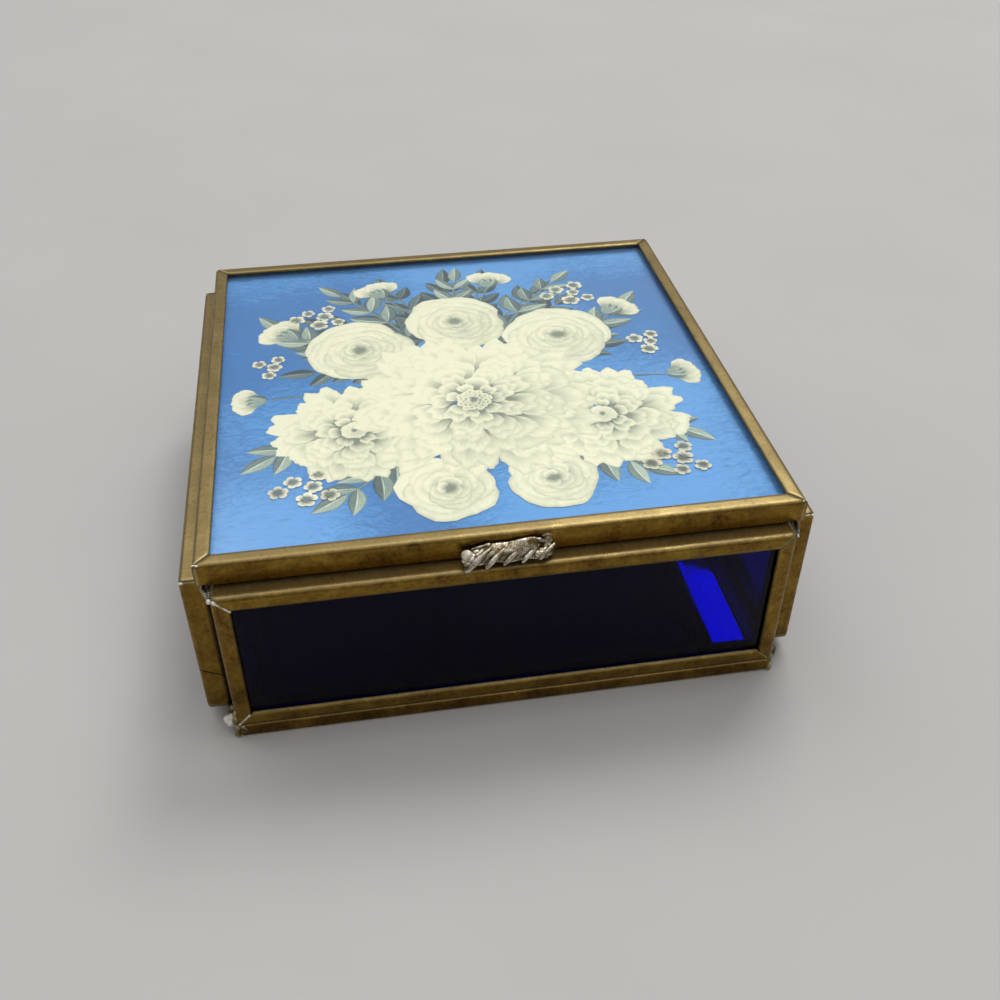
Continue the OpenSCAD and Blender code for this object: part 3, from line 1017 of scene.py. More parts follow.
@dataclass
class ThumbLift:
    """The twisted strip soldered to the lid's front face. Sizes are in millimetres.

    Places in it are told by x, the reach in front of the lid's face and the height over the walls.
    """

    face_y: float
    wall_top: float
    first: float = -7.2
    pitch: float = 2.64
    count: int = 5
    lean: float = 3.9
    foot: Place = (3.3, 0.78)
    crown: Place = (0.7, 2.5)
    crown_x: Pair = (-3.9, 4.9)
    crown_rise: float = 0.85

    def at(self, x: float, reach: float, height: float) -> Point:
        """A place in the row frame."""
        return (x, self.face_y - reach, self.wall_top + height)

    def web(self, rng: random.Random) -> list[Blob]:
        """Lays out the smooth body that the solder has drowned, full above and thin at its foot.

        Args:
            rng: makes its thickness a little uneven.

        Returns:
            Its lumps.
        """
        blobs: list[Blob] = []
        wide = self.pitch * (self.count - 1) + 1.3
        for i in range(31):
            s = i / 30
            top_x = self.crown_x[0] + (self.crown_x[1] - self.crown_x[0]) * s
            rise = self.crown_rise * s + 0.1 * math.sin(11 * s)
            high = self.at(top_x, self.crown[0], self.crown[1] + rise)
            if s > 0.84:
                # the hook leaves a dark hollow here
                high = self.at(top_x + 0.3, 1.75, 1.75)
            reach = self.foot[0] - 0.85 + 0.16 * math.sin(15 * s)
            low = self.at(self.first + 0.4 + wide * s, reach, self.foot[1] + 0.42)
            belly = tuple(0.5 * (p + q) for p, q in zip(high, low))
            belly = (belly[0], belly[1] - 0.2, belly[2] + 0.3)
            fat = 0.62 + rng.uniform(-0.03, 0.03)
            blobs += taper(high, belly, fat, 0.58, 6) + taper(belly, low, 0.55, 0.26, 7)
        return blobs

    def ends(self) -> list[Blob]:
        """Lays out the lump at the left, the sliver above it and the hook at the upper right.

        Returns:
            Their lumps.
        """
        left, right = self.first, self.crown_x[1]
        hook = self.at(right - 0.6, 0.95, 3.42), self.at(right + 0.45, 0.95, 2.8)
        blobs = [Blob(self.at(left + 0.1, 1.3, 1.95), (0.85, 0.75, 0.75)),
                 Blob(self.at(left, 1.9, 1.6), (0.85, 0.7, 0.75)),
                 Blob(self.at(left + 0.2, 2.45, 1.25), (0.8, 0.65, 0.6)),
                 Blob(self.at(left + 0.9, 1.6, 1.8), (0.95, 0.8, 0.75)),
                 Blob(self.at(left + 1.7, 1.1, 2.1), (0.95, 0.75, 0.7))]
        blobs += taper(self.at(left - 0.1, 2.4, 1.1), self.at(left - 0.2, 3.2, 0.62), 0.5, 0.36)
        blobs += taper(self.at(left + 1.1, 0.55, 2.5), self.at(left + 3.6, 0.7, 3.1), 0.24, 0.45)
        blobs += taper(self.at(right - 1.7, 0.7, 3.42), hook[0], 0.26, 0.32)
        blobs += taper(hook[0], hook[1], 0.32, 0.3)
        blobs += taper(hook[1], self.at(right + 0.1, 1.6, 1.9), 0.32, 0.4)
        return blobs

    def build(self, plated: bpy.types.Material, stained: bpy.types.Material) -> None:
        """Sculpts the ribs with the solder that drowns their upper ends, and the smear beside it.

        Args:
            plated: the finish of the strip.
            stained: the finish of the smear.
        """
        rib: list[Blob] = []
        for i in range(19):
            # from the foot, at -1, to where the web swallows it, at 1
            u = i / 9 - 1
            fat = 0.58 * (1 - 0.4 * max(0.0, u) ** 1.5) * (1 - 0.3 * max(0.0, -u) ** 3)
            rib.append(Blob((self.lean / 2 * u, 1.12 * u - 0.14 * (1 - u * u),
                             0.95 * u + 0.24 * (1 - u * u)), (fat * 0.8, fat, fat)))
        start = self.at(self.first + self.lean / 2, self.foot[0] - 1.02, self.foot[1] + 1.06)
        row = RibRow(self.count, start, (self.pitch, 0.0, 0.05), shrink=0.085).run(rib, plated)
        blobs = self.web(random.Random(11)) + self.ends()
        piece = Sculptor(voxel=0.065, smooth=2, ripple=0.04, ripple_mm=0.7).melt(
            "thumb_lift_sculpted", blobs, row)
        settle(piece, Body.LID, plated, ("thumb_lift", "thumb_lift_solder"))
        right = self.crown_x[1]
        smear = [Blob(self.at(right + 0.75, 0.0, 3.3), (1.0, 0.3, 0.4), 4),
                 Blob(self.at(right + 0.85, 0.25, 2.4), (0.85, 0.5, 0.95)),
                 Blob(self.at(right + 0.85, 0.75, 1.6), (0.8, 0.65, 0.8)),
                 Blob(self.at(right + 0.75, 1.35, 1.0), (0.75, 0.75, 0.55))]
        smear += taper(self.at(right + 0.8, 0.3, 2.6), self.at(right + 1.35, 1.2, 0.75), 0.42, 0.34)
        smear += taper(self.at(right + 1.3, 0.4, 1.9), self.at(right + 1.7, 0.2, 0.7), 0.4, 0.3)
        piece = Sculptor(voxel=0.08, ripple=0.04).melt("thumb_lift_smear", smear)
        settle(piece, Body.LID, stained)


@dataclass
class SolderWork:
    """All the hand-run solder but the thumb lift's. Sizes are in millimetres."""

    corner_x: float
    corner_y: float
    wall_z: float
    wall_top: float
    lid_half_x: float
    lid_half_y: float
    lid_mid_z: float
    hinge_y: float
    hinge_z: float
    leg_x: float
    channel: float = 4.9
    lip: float = 2.7
    leg_bead_z: float = 18.6
    fillet_x: tuple[float, ...] = (-37.4, 0.0, 37.4)
    fillet_half: float = 6.4

    def corner_signs(self) -> Iterable[tuple[int, int]]:
        """The four corners, as the signs of x and y."""
        return ((sx, sy) for sx in (-1, 1) for sy in (-1, 1))

    def corners(self, solder: bpy.types.Material) -> None:
        """Forks a bead over the top of each upright notch.

        Args:
            solder: its finish.
        """
        blobs: list[Blob] = []
        x, y, top = self.corner_x, self.corner_y, self.wall_top
        for sx, sy in self.corner_signs():
            meet = (sx * (x + 0.12), sy * (y + 4.55), top - 0.4)
            blobs += taper((sx * (x + 1.5), sy * (y + 0.3), top - 0.75), meet, 0.5, 0.26)
            blobs += taper((sx * (x + 0.12), sy * (y + 1.2), top - 0.42), meet, 0.4, 0.24)
            blobs += taper((sx * (x + 0.9), sy * (y + 0.5), top - 1.0),
                           (sx * (x + 0.2), sy * (y + 0.2), top - 5.5), 0.75, 0.25, 12)
        piece = Sculptor(voxel=0.08, smooth=4).melt("corner_solder_forks", blobs)
        settle(piece, Body.BOX, solder, ("corner_solder",))

    def seams(self, stained: bpy.types.Material) -> None:
        """Runs a thin seam down each corner, where two walls' inner edges meet.

        Args:
            stained: its finish.
        """
        rng = random.Random(41)
        blobs: list[Blob] = []
        for sx, sy in self.corner_signs():
            z = self.wall_z + 0.35
            while z < self.wall_top - 0.6:
                r = rng.uniform(0.46, 0.6)
                blobs.append(Blob((sx * (self.corner_x + 0.1), sy * (self.corner_y + 0.15), z),
                                  (r, r, 0.7)))
                z += 0.55
        piece = Sculptor(voxel=0.12, ripple=0.05).melt("corner_seams", blobs)
        settle(piece, Body.BOX, stained)

    def glints(self, bright: bpy.types.Material) -> None:
        """Sets the small bright beads, whose near-white finish paints glints: at the forks, the
        lid's and walls' tips and the thumb lift.

        Args:
            bright: the near-white finish that paints their glints.
        """
        rng = random.Random(3)
        box: list[Blob] = []
        lid: list[Blob] = []
        x, y, top = self.corner_x, self.corner_y, self.wall_top
        for sx, sy in self.corner_signs():
            # the front right fork ends in a much smaller bead
            r = rng.uniform(0.36, 0.42) * (0.5 if sx > 0 > sy else 1.0)
            box.append(Blob((sx * (x + 0.12), sy * (y + (4.6 if sy < 0 else 4.3)), top - 0.38),
                            (r, r, r * 1.15)))
            r = rng.uniform(0.19, 0.24)
            box.append(Blob((sx * (x + 4.4), sy * (y + 0.12), top - 0.2), (r * 2.0, r, r)))
            lid.append(Blob((sx * (self.lid_half_x - 0.5), sy * (self.lid_half_y - 0.42),
                             self.lid_mid_z + 1.88), (0.62, 0.26, 0.24), -10 * sx * sy))
        for size, at in (((0.8, 0.85, 0.72), (1.35, 3.3, 0.35)),
                         ((0.62, 0.6, 0.6), (1.0, 4.0, 0.1)),
                         ((0.6, 0.6, 0.55), (0.75, 3.4, 0.95))):
            box.append(Blob((-(x + at[0]), -(y + at[1]), self.wall_z + at[2]), size, 20))
        lid.append(Blob((-7.05, -(self.lid_half_y + 1.6), top + 2.35), (0.95, 0.82, 0.8)))
        lid.append(Blob((-6.5, -(self.lid_half_y + 2.15), top + 1.95), (0.62, 0.55, 0.5)))
        for name, blobs, body in (("bright_beads_box", box, Body.BOX),
                                  ("bright_beads_lid", lid, Body.LID)):
            piece = Sculptor(voxel=0.07, smooth=3, ripple=0.05, ripple_mm=0.6).melt(name, blobs)
            settle(piece, body, bright)

    def stains(self, stained: bpy.types.Material) -> None:
        """Smears thin solder down the front wall's lower ends and the base's front corners.

        Args:
            stained: the finish of solder that flux has browned.
        """
        rng = random.Random(29)
        blobs: list[Blob] = []
        face = -(self.corner_y + self.channel)
        for sx, reach in ((-1, 5.6), (1, 1.4)):
            z = 0.5
            while z < reach:
                wide = 0.75 * (1 - 0.55 * z / reach) * rng.uniform(0.85, 1.15)
                tall = min(0.65, z)
                blobs.append(Blob((sx * (self.corner_x - 0.1), face + 0.28, z), (wide, 0.5, tall)))
                z += 0.42
        blobs.append(Blob((-(self.corner_x - 0.7), face + 0.14, 1.6), (1.0, 0.26, 0.95)))
        piece = Sculptor(voxel=0.08, smooth=5, ripple=0.06).melt("base_corner_stains", blobs)
        settle(piece, Body.BOX, stained)

    def mitres(self, face_y: float, low_z: float, solder: bpy.types.Material) -> None:
        """Runs hair-thin seams down the front wall's left mitres, in near-white solder that paints
        a highlight line.

        Args:
            face_y: the front wall's front face.
            low_z: that wall's foot.
            solder: the finish.
        """
        rng = random.Random(17)
        blobs: list[Blob] = []
        start, lumps = 0.45, 26
        for from_z, way, stop in ((self.wall_top, -1, 1.0), (low_z, 1, 0.85)):
            count = round(lumps * stop)
            for i in range(count):
                d = start + (self.lip - start) * stop * i / (count - 1)
                r = rng.uniform(0.15, 0.2) * (1.0 if i > 3 else 1.5)
                x = -(self.corner_x - d) + rng.uniform(-0.03, 0.03)
                blobs.append(Blob((x, face_y + 0.06, from_z + way * d), (r, r, r)))
        sculptor = Sculptor(voxel=0.05, smooth=3, ripple=0.02, ripple_mm=0.5)
        piece = sculptor.melt("mitre_seams", blobs)
        settle(piece, Body.BOX, solder)

    def base(self, solder: bpy.types.Material) -> None:
        """Puts the beads that hold the overhanging side walls to the base's edge.

        Args:
            solder: their finish.
        """
        rng = random.Random(5)
        blobs: list[Blob] = []
        for sx in (-1, 1):
            for y in (-self.corner_y, -self.corner_y / 3, self.corner_y / 3, self.corner_y):
                end = abs(y) == self.corner_y
                for _ in range(6):
                    r = rng.uniform(0.7, 1.1)
                    at = (sx * (self.corner_x + rng.uniform(0.2, 0.9)),
                          y + math.copysign(rng.uniform(0.0, 1.2 if end else 0.8), y),
                          self.wall_z + rng.uniform(-0.9, 0.2))
                    blobs.append(Blob(at, (r, r * 1.1, r * 0.85)))
                if not end:
                    continue
                for out, past, rise, size in ((0.75, 2.6, 0.15, (1.0, 0.85, 0.85)),
                                              (0.45, 3.4, -0.55, (0.9, 0.85, 0.75)),
                                              (0.35, 2.4, -1.5, (0.8, 1.2, 0.9))):
                    blobs.append(Blob((sx * (self.corner_x + out), y + math.copysign(past, y),
                                       self.wall_z + rise), size))
        piece = Sculptor().melt("base_solder_beads", blobs)
        settle(piece, Body.BOX, solder, ("base_solder",))

    def lid_corners(self, solder: bpy.types.Material) -> None:
        """Tips the lid's four corners.

        Args:
            solder: the finish.
        """
        rng = random.Random(8)
        blobs: list[Blob] = []
        for sx, sy in self.corner_signs():
            for k in range(7):
                r = rng.uniform(0.44, 0.5)
                blobs.append(Blob((sx * (self.lid_half_x - 0.5), sy * (self.lid_half_y - 0.5),
                                   self.lid_mid_z - 1.35 + 0.45 * k), (r, r, r)))
        piece = Sculptor(voxel=0.07, ripple=0.03).melt("lid_corner_solder_tips", blobs)
        settle(piece, Body.LID, solder, ("lid_corner_solder",))

    def hinge(self, solder: bpy.types.Material) -> None:
        """Beads the rod's legs to the back wall's ends and the tube to the lid's back edge.

        Args:
            solder: the finish.
        """
        rng = random.Random(13)
        legs: list[Blob] = []
        for sx in (-1, 1):
            for i in range(12):
                r = rng.uniform(1.0, 1.22)
                legs.append(Blob((sx * (self.leg_x - 0.1), self.hinge_y + rng.uniform(-0.15, 0.15),
                                  self.leg_bead_z + i * 0.92), (r, r, 1.1)))
        piece = Sculptor().melt("hinge_rod_beads", legs)
        settle(piece, Body.BOX, solder, ("hinge_rod_solder",))
        fillets: list[Blob] = []
        for middle in self.fillet_x:
            for i in range(19):
                x = middle - self.fillet_half + i * 0.71
                fillets.append(Blob((x, self.lid_half_y + 0.32, self.hinge_z + 0.95),
                                    (0.75, 0.5 + rng.uniform(0, 0.1), 0.72 + rng.uniform(0, 0.18))))
        piece = Sculptor().melt("hinge_tube_fillets", fillets)
        settle(piece, Body.LID, solder, ("hinge_tube_solder",))


# ---------------------------------------------------------------- the print


@dataclass
class Drawing:
    """Gathers flat drawn shapes, each a little higher than the last, into one mesh per ink."""

    floor_z: float
    step_z: float
    verts: dict[Ink, list[Point]] = field(default_factory=lambda: {k: [] for k in Ink})
    faces: dict[Ink, list[tuple[int, ...]]] = field(default_factory=lambda: {k: [] for k in Ink})
    tones: dict[Ink, list[float]] = field(default_factory=lambda: {k: [] for k in Ink})
    maps: dict[Ink, list[Place]] = field(default_factory=lambda: {k: [] for k in Ink})
    level: int = 0

    def lay(self, ink: Ink, grid: np.ndarray, tone: np.ndarray) -> None:
        """Lays one shape on top of those before it.

        Args:
            ink: which ink it is printed in.
            grid: rows by columns by 2 places, in millimetres.
            tone: rows by columns of tone, 0 deep to 1 light.
        """
        rows, cols = grid.shape[:2]
        start = len(self.verts[ink])
        z = (self.floor_z + self.level * self.step_z) * MM
        self.level += 1
        mid_r, mid_c = rows // 2, cols // 2
        a = grid[mid_r + 1, mid_c] - grid[mid_r, mid_c]
        b = grid[mid_r, mid_c + 1] - grid[mid_r, mid_c]
        upward = b[0] * a[1] - b[1] * a[0] > 0
        for r in range(rows):
            for c in range(cols):
                self.verts[ink].append((grid[r, c, 0] * MM, grid[r, c, 1] * MM, z))
                self.tones[ink].append(float(tone[r, c]))
                self.maps[ink].append((c / (cols - 1), r / (rows - 1)))
        for r in range(rows - 1):
            for c in range(cols - 1):
                k = start + r * cols + c
                quad = (k, k + 1, k + cols + 1, k + cols)
                self.faces[ink].append(quad if upward else quad[::-1])

    def meshes(self, name: str) -> dict[Ink, bpy.types.Object]:
        """Makes the object of each ink, with its tone attribute and drawn map.

        Args:
            name: what the objects' names start with.

        Returns:
            The object of each ink that was used.
        """
        made = {}
        for ink in Ink:
            if not self.faces[ink]:
                continue
            piece = object_from(f"{name}_{ink.value}", self.verts[ink], self.faces[ink],
                                smooth=False)
            mesh = piece.data
            tone = mesh.attributes.new("tone", "FLOAT", "POINT")
            tone.data.foreach_set("value", self.tones[ink])
            layer = mesh.uv_layers.new(name="drawn")
            corner = np.empty(len(mesh.loops), dtype=int)
            mesh.loops.foreach_get("vertex_index", corner)
            layer.data.foreach_set("uv", np.array(self.maps[ink])[corner].ravel())
            clean(mesh)
            made[ink] = piece
        return made


def smooth_step(value: np.ndarray, low: float, high: float) -> np.ndarray:
    """Rises smoothly from 0 at low to 1 at high."""
    t = np.clip((value - low) / (high - low), 0, 1)
    return t * t * (3 - 2 * t)


@dataclass
class Florist:
    """Draws petals, flowers, leaves and stems for the lid's print. Sizes are in millimetres."""

    page: Drawing
    rng: random.Random

    def petal(self, root: Place, heading: float, length: float, spread: float,
              ruffle: float, shade: float, notch: float = 0.0) -> None:
        """Draws one fan-shaped petal.

        Args:
            root: where it grows from.
            heading: its direction, in radians from +Y, turning towards +X.
            length: from root to rim.
            spread: half its opening angle, in radians.
            ruffle: how uneven its rim is.
            shade: added to its tone.
            notch: how deep its rim dips in the middle.
        """
        rows, cols = 11, 21
        rho = np.linspace(0.0, 1.0, rows)[:, None] ** 0.8
        tau = np.linspace(-1.0, 1.0, cols)[None, :]
        phase = self.rng.uniform(0, ANY_TURN)
        waves = self.rng.choice((2.0, 2.5, 3.0))
        rim = (1 - 0.3 * np.abs(tau) ** 3.2 + ruffle * np.sin(waves * math.pi * tau + phase)
               + 0.5 * ruffle * np.sin(2.7 * waves * math.pi * tau + 2 * phase)
               - notch * np.exp(-(tau / 0.22) ** 2))
        bend = self.rng.uniform(-0.12, 0.12)
        angle = heading + spread * tau * (0.62 + 0.38 * rho) + bend * rho
        grid = np.stack([root[0] + length * rho * rim * np.sin(angle),
                         root[1] + length * rho * rim * np.cos(angle)], axis=2)
        tone = 0.04 + 0.76 * smooth_step(rho, 0.3, 0.95) + 0 * tau
        tone = tone - 0.17 * np.abs(tau) ** 3 + 0.1 * np.exp(-((rho - 0.9) / 0.08) ** 2)
        tone = tone - 0.09 * np.exp(-((tau - bend) / 0.13) ** 2) * (1 - 0.6 * rho)
        tone = tone - 0.16 * smooth_step(rho * np.ones_like(tau), 0.965, 1.0)
        # light falls from the upper left
        lit = 0.1 * math.cos(heading + 0.8)
        self.page.lay(Ink.PETAL, grid, np.clip(tone + shade + lit, 0, 1))

    def bloom(self, centre: Place, radius: float, rings: int, fullness: int,
              ruffle: float) -> None:
        """Draws a full flower, outer petals first.

        Args:
            centre: its middle.
            radius: its reach.
            rings: how many rings of petals.
            fullness: petals in the outer ring.
            ruffle: how uneven the rims are.
        """
        for ring in range(rings):
            s = ring / rings
            reach = radius * (1 - s) ** 0.85
            petals = max(3, round(fullness * (1 - 0.45 * s)))
            start = self.rng.uniform(0, ANY_TURN)
            for k in range(petals):
                heading = start + 2 * math.pi * k / petals + self.rng.uniform(-0.12, 0.12)
                out = reach * 0.22
                root = (centre[0] + out * math.sin(heading), centre[1] + out * math.cos(heading))
                size = reach * 0.8 * self.rng.uniform(0.92, 1.06)
                self.petal(root, heading, size, 1.9 * math.pi / petals * 0.62, ruffle,
                           self.rng.uniform(-0.06, 0.06) + 0.04 - 0.08 * s, notch=0.07)
        self.heart(centre, radius * 0.13)

    def heart(self, centre: Place, radius: float) -> None:
        """Fills a flower's middle with small curled petals, outermost first.

        Args:
            centre: the flower's middle.
            radius: how far the small petals reach.
        """
        for k in range(34, 0, -1):
            reach = radius * math.sqrt(k / 34)
            turn = GOLDEN_TURN * k
            root = (centre[0] + (reach - 0.9) * math.sin(turn),
                    centre[1] + (reach - 0.9) * math.cos(turn))
            self.petal(root, turn, 1.5, 0.75, 0.02, -0.1 + 0.2 * k / 34)

    def rose(self, centre: Place, radius: float, turns: int, heading: float) -> None:
        """Draws a cupped rose whose petals wind inwards.

        Args:
            centre: its middle.
            radius: its reach.
            turns: how many petals.
            heading: the way that it faces, in radians.
        """
        for k in range(turns):
            s = k / turns
            reach = radius * (1 - 0.82 * s ** 0.9)
            turn = heading + k * GOLDEN_TURN
            slip = radius * 0.1 * s
            root = (centre[0] - 0.35 * reach * math.sin(turn) + slip * math.sin(heading),
                    centre[1] - 0.35 * reach * math.cos(turn) + slip * math.cos(heading))
            self.petal(root, turn, reach * 1.3, 0.95 - 0.2 * s, 0.018,
                       self.rng.uniform(-0.04, 0.04) - 0.08 * s)

    def leaf(self, root: Place, heading: float, length: float, width: float,
             bend: float, shade: float = 0.0) -> None:
        """Draws one toothed leaf along a bent midrib.

        Args:
            root: where it grows from.
            heading: its first direction, in radians from +Y.
            length: along the midrib.
            width: at its widest.
            bend: how far its direction turns by the tip, in radians.
            shade: added to its tone.
        """
        rows, cols = 25, 9
        s = np.linspace(0.0, 1.0, rows)
        turn = heading + bend * s
        step = length / (rows - 1)
        mid = np.cumsum(np.stack([np.sin(turn), np.cos(turn)], axis=1) * step, axis=0)
        mid = mid - mid[0] + np.array(root)
        side = np.stack([np.cos(turn), -np.sin(turn)], axis=1)
        half = width / 2 * np.sin(math.pi * s ** 0.85) ** 0.9
        half = half * (1 + 0.07 * (np.arange(rows) % 2)) + 0.02
        tau = np.linspace(-1.0, 1.0, cols)
        grid = mid[:, None, :] + (tau[None, :, None] * half[:, None, None]) * side[:, None, :]
        tone = 0.36 + 0.14 * np.sign(tau)[None, :] * -1 + 0.1 * s[:, None] + shade
        tone = tone - 0.2 * smooth_step(np.abs(tau)[None, :] * np.ones((rows, 1)), 0.75, 1.0)
        self.page.lay(Ink.LEAF, grid, np.clip(tone, 0, 1))

    def stem(self, points: Sequence[Place], width: float) -> None:
        """Draws a stem through some points.

        Args:
            points: places that it passes.
            width: its thickness.
        """
        knots = np.array(points)
        at = np.linspace(0, len(knots) - 1, 24)
        line = np.stack([np.interp(at, range(len(knots)), knots[:, i]) for i in (0, 1)], axis=1)
        kernel = np.ones(5) / 5
        soft = np.stack([np.convolve(np.pad(line[:, i], 2, mode="edge"), kernel, "valid")
                         for i in (0, 1)], axis=1)
        way = np.gradient(soft, axis=0)
        way /= np.linalg.norm(way, axis=1)[:, None]
        side = np.stack([way[:, 1], -way[:, 0]], axis=1)
        tau = np.array([-1.0, 0.0, 1.0])
        grid = soft[:, None, :] + tau[None, :, None] * width / 2 * side[:, None, :]
        self.page.lay(Ink.LEAF, grid, np.full(grid.shape[:2], 0.3) + 0.15 * -tau[None, :])

    def spray(self, root: Place, heading: float, length: float, bend: float,
              pairs: int, size: float, shade: float = 0.0) -> None:
        """Draws a stem with leaves in pairs and one at its tip.

        Args:
            root: where it grows from.
            heading: its first direction, in radians.
            length: along the stem.
            bend: how far it turns by its tip.
            pairs: how many pairs of leaves.
            size: the longest leaf.
            shade: added to its leaves' tone.
        """
        steps = 14
        x, y = root
        path = [(x, y, heading)]
        for i in range(steps):
            turn = heading + bend * (i + 1) / steps
            x += math.sin(turn) * length / steps
            y += math.cos(turn) * length / steps
            path.append((x, y, turn))
        self.stem([(p[0], p[1]) for p in path[::2]], 0.55)
        for k in range(pairs):
            px, py, turn = path[round((k + 0.7) / pairs * (steps - 1))]
            scale = size * (1 - 0.35 * k / pairs)
            for side in (-1, 1):
                self.leaf((px, py), turn + side * self.rng.uniform(0.75, 0.95),
                          scale * self.rng.uniform(0.85, 1.05), scale * 0.42, -side * 0.35,
                          shade + self.rng.uniform(-0.08, 0.12))
        px, py, turn = path[-1]
        self.leaf((px, py), turn, size * 0.8, size * 0.34, 0.2 * bend, shade + 0.05)

    def bud(self, at: Place, heading: float, size: float) -> None:
        """Draws a half-open bud with its calyx.

        Args:
            at: where its stem ends.
            heading: the way that it opens, in radians.
            size: its length.
        """
        for lean in (-0.45, 0.45, 0.0):
            self.petal(at, heading + lean, size, 0.5, 0.02, 0.02)
        for lean in (-0.5, 0.0, 0.5):
            self.leaf(at, heading + lean, size * 0.62, size * 0.3, -lean * 0.6)


@dataclass
class StarflowerScatter:
    """Small five-petalled flowers on chosen points, set out by Geometry Nodes."""

    seed: int = 4
    small: float = 0.8
    large: float = 1.25
    step_z: float = 1.5e-6

    def flower(self) -> bpy.types.Object:
        """Draws the one small flower that is repeated, 3 mm across, with its tone and map.

        Returns:
            Its object, at the origin.
        """
        page = Drawing(0.0, 0.0002)
        florist = Florist(page, random.Random(2))
        for k in range(5):
            florist.petal((0.0, 0.0), 2 * math.pi * k / 5, 1.6, 0.6, 0.01, 0.05)
        return page.meshes("starflower")[Ink.PETAL]

    def tree(self) -> bpy.types.NodeTree:
        """Builds the node tree: points in, turned and sized flowers out, as one real mesh.

        Returns:
            The tree.
        """
        tree = new_group("starflower_scatter", (("Flower", "Object"), ("Small", "Float"),
                                                ("Large", "Float"), ("Step", "Float"),
                                                ("Seed", "Int"), ("Finish", "Material")))
        given = add(tree, "NodeGroupInput")
        shape = add(tree, "GeometryNodeObjectInfo", {"Object": given.outputs["Flower"]})
        size = add(tree, "FunctionNodeRandomValue", {2: given.outputs["Small"],
                   3: given.outputs["Large"], "Seed": given.outputs["Seed"]}, data_type="FLOAT")
        turn = add(tree, "FunctionNodeRandomValue", {2: 0.0, 3: 6.283,
                   "Seed": given.outputs["Seed"]}, data_type="FLOAT")
        about = add(tree, "ShaderNodeCombineXYZ", {2: turn.outputs[1]})
        placed = add(tree, "GeometryNodeInstanceOnPoints", {"Points": given.outputs["Geometry"],
                     "Instance": shape.outputs["Geometry"], "Rotation": about.outputs[0],
                     "Scale": size.outputs[1]})
        number = add(tree, "GeometryNodeInputIndex")
        rise = add(tree, "ShaderNodeMath", {0: number.outputs[0], 1: given.outputs["Step"]},
                   operation="MULTIPLY")
        up = add(tree, "ShaderNodeCombineXYZ", {2: rise.outputs[0]})
        raised = add(tree, "GeometryNodeTranslateInstances", {"Instances": placed.outputs[0],
                     "Translation": up.outputs[0], "Local Space": False})
        real = add(tree, "GeometryNodeRealizeInstances", {0: raised.outputs[0]})
        done = add(tree, "GeometryNodeSetMaterial", {"Geometry": real.outputs[0],
                   "Material": given.outputs["Finish"]})
        add(tree, "NodeGroupOutput", {0: done.outputs[0]})
        return tree

    def scatter(self, name: str, points: Sequence[Place], z: float,
                finish: bpy.types.Material) -> bpy.types.Object:
        """Sets the flowers out.

        Args:
            name: the piece's name.
            points: their middles, in millimetres.
            z: the height of the first, in millimetres.
            finish: their ink.

        Returns:
            One plain mesh object.
        """
        flower = self.flower()
        holder = object_from(name, [(x * MM, y * MM, z * MM) for x, y in points], [])
        mesh = run_group(holder, self.tree(), {
            "Flower": flower, "Small": self.small, "Large": self.large, "Step": self.step_z,
            "Seed": self.seed, "Finish": finish})
        holder.modifiers.clear()
        holder.data = mesh
        holder.data.name = name
        bpy.data.objects.remove(flower)
        return holder


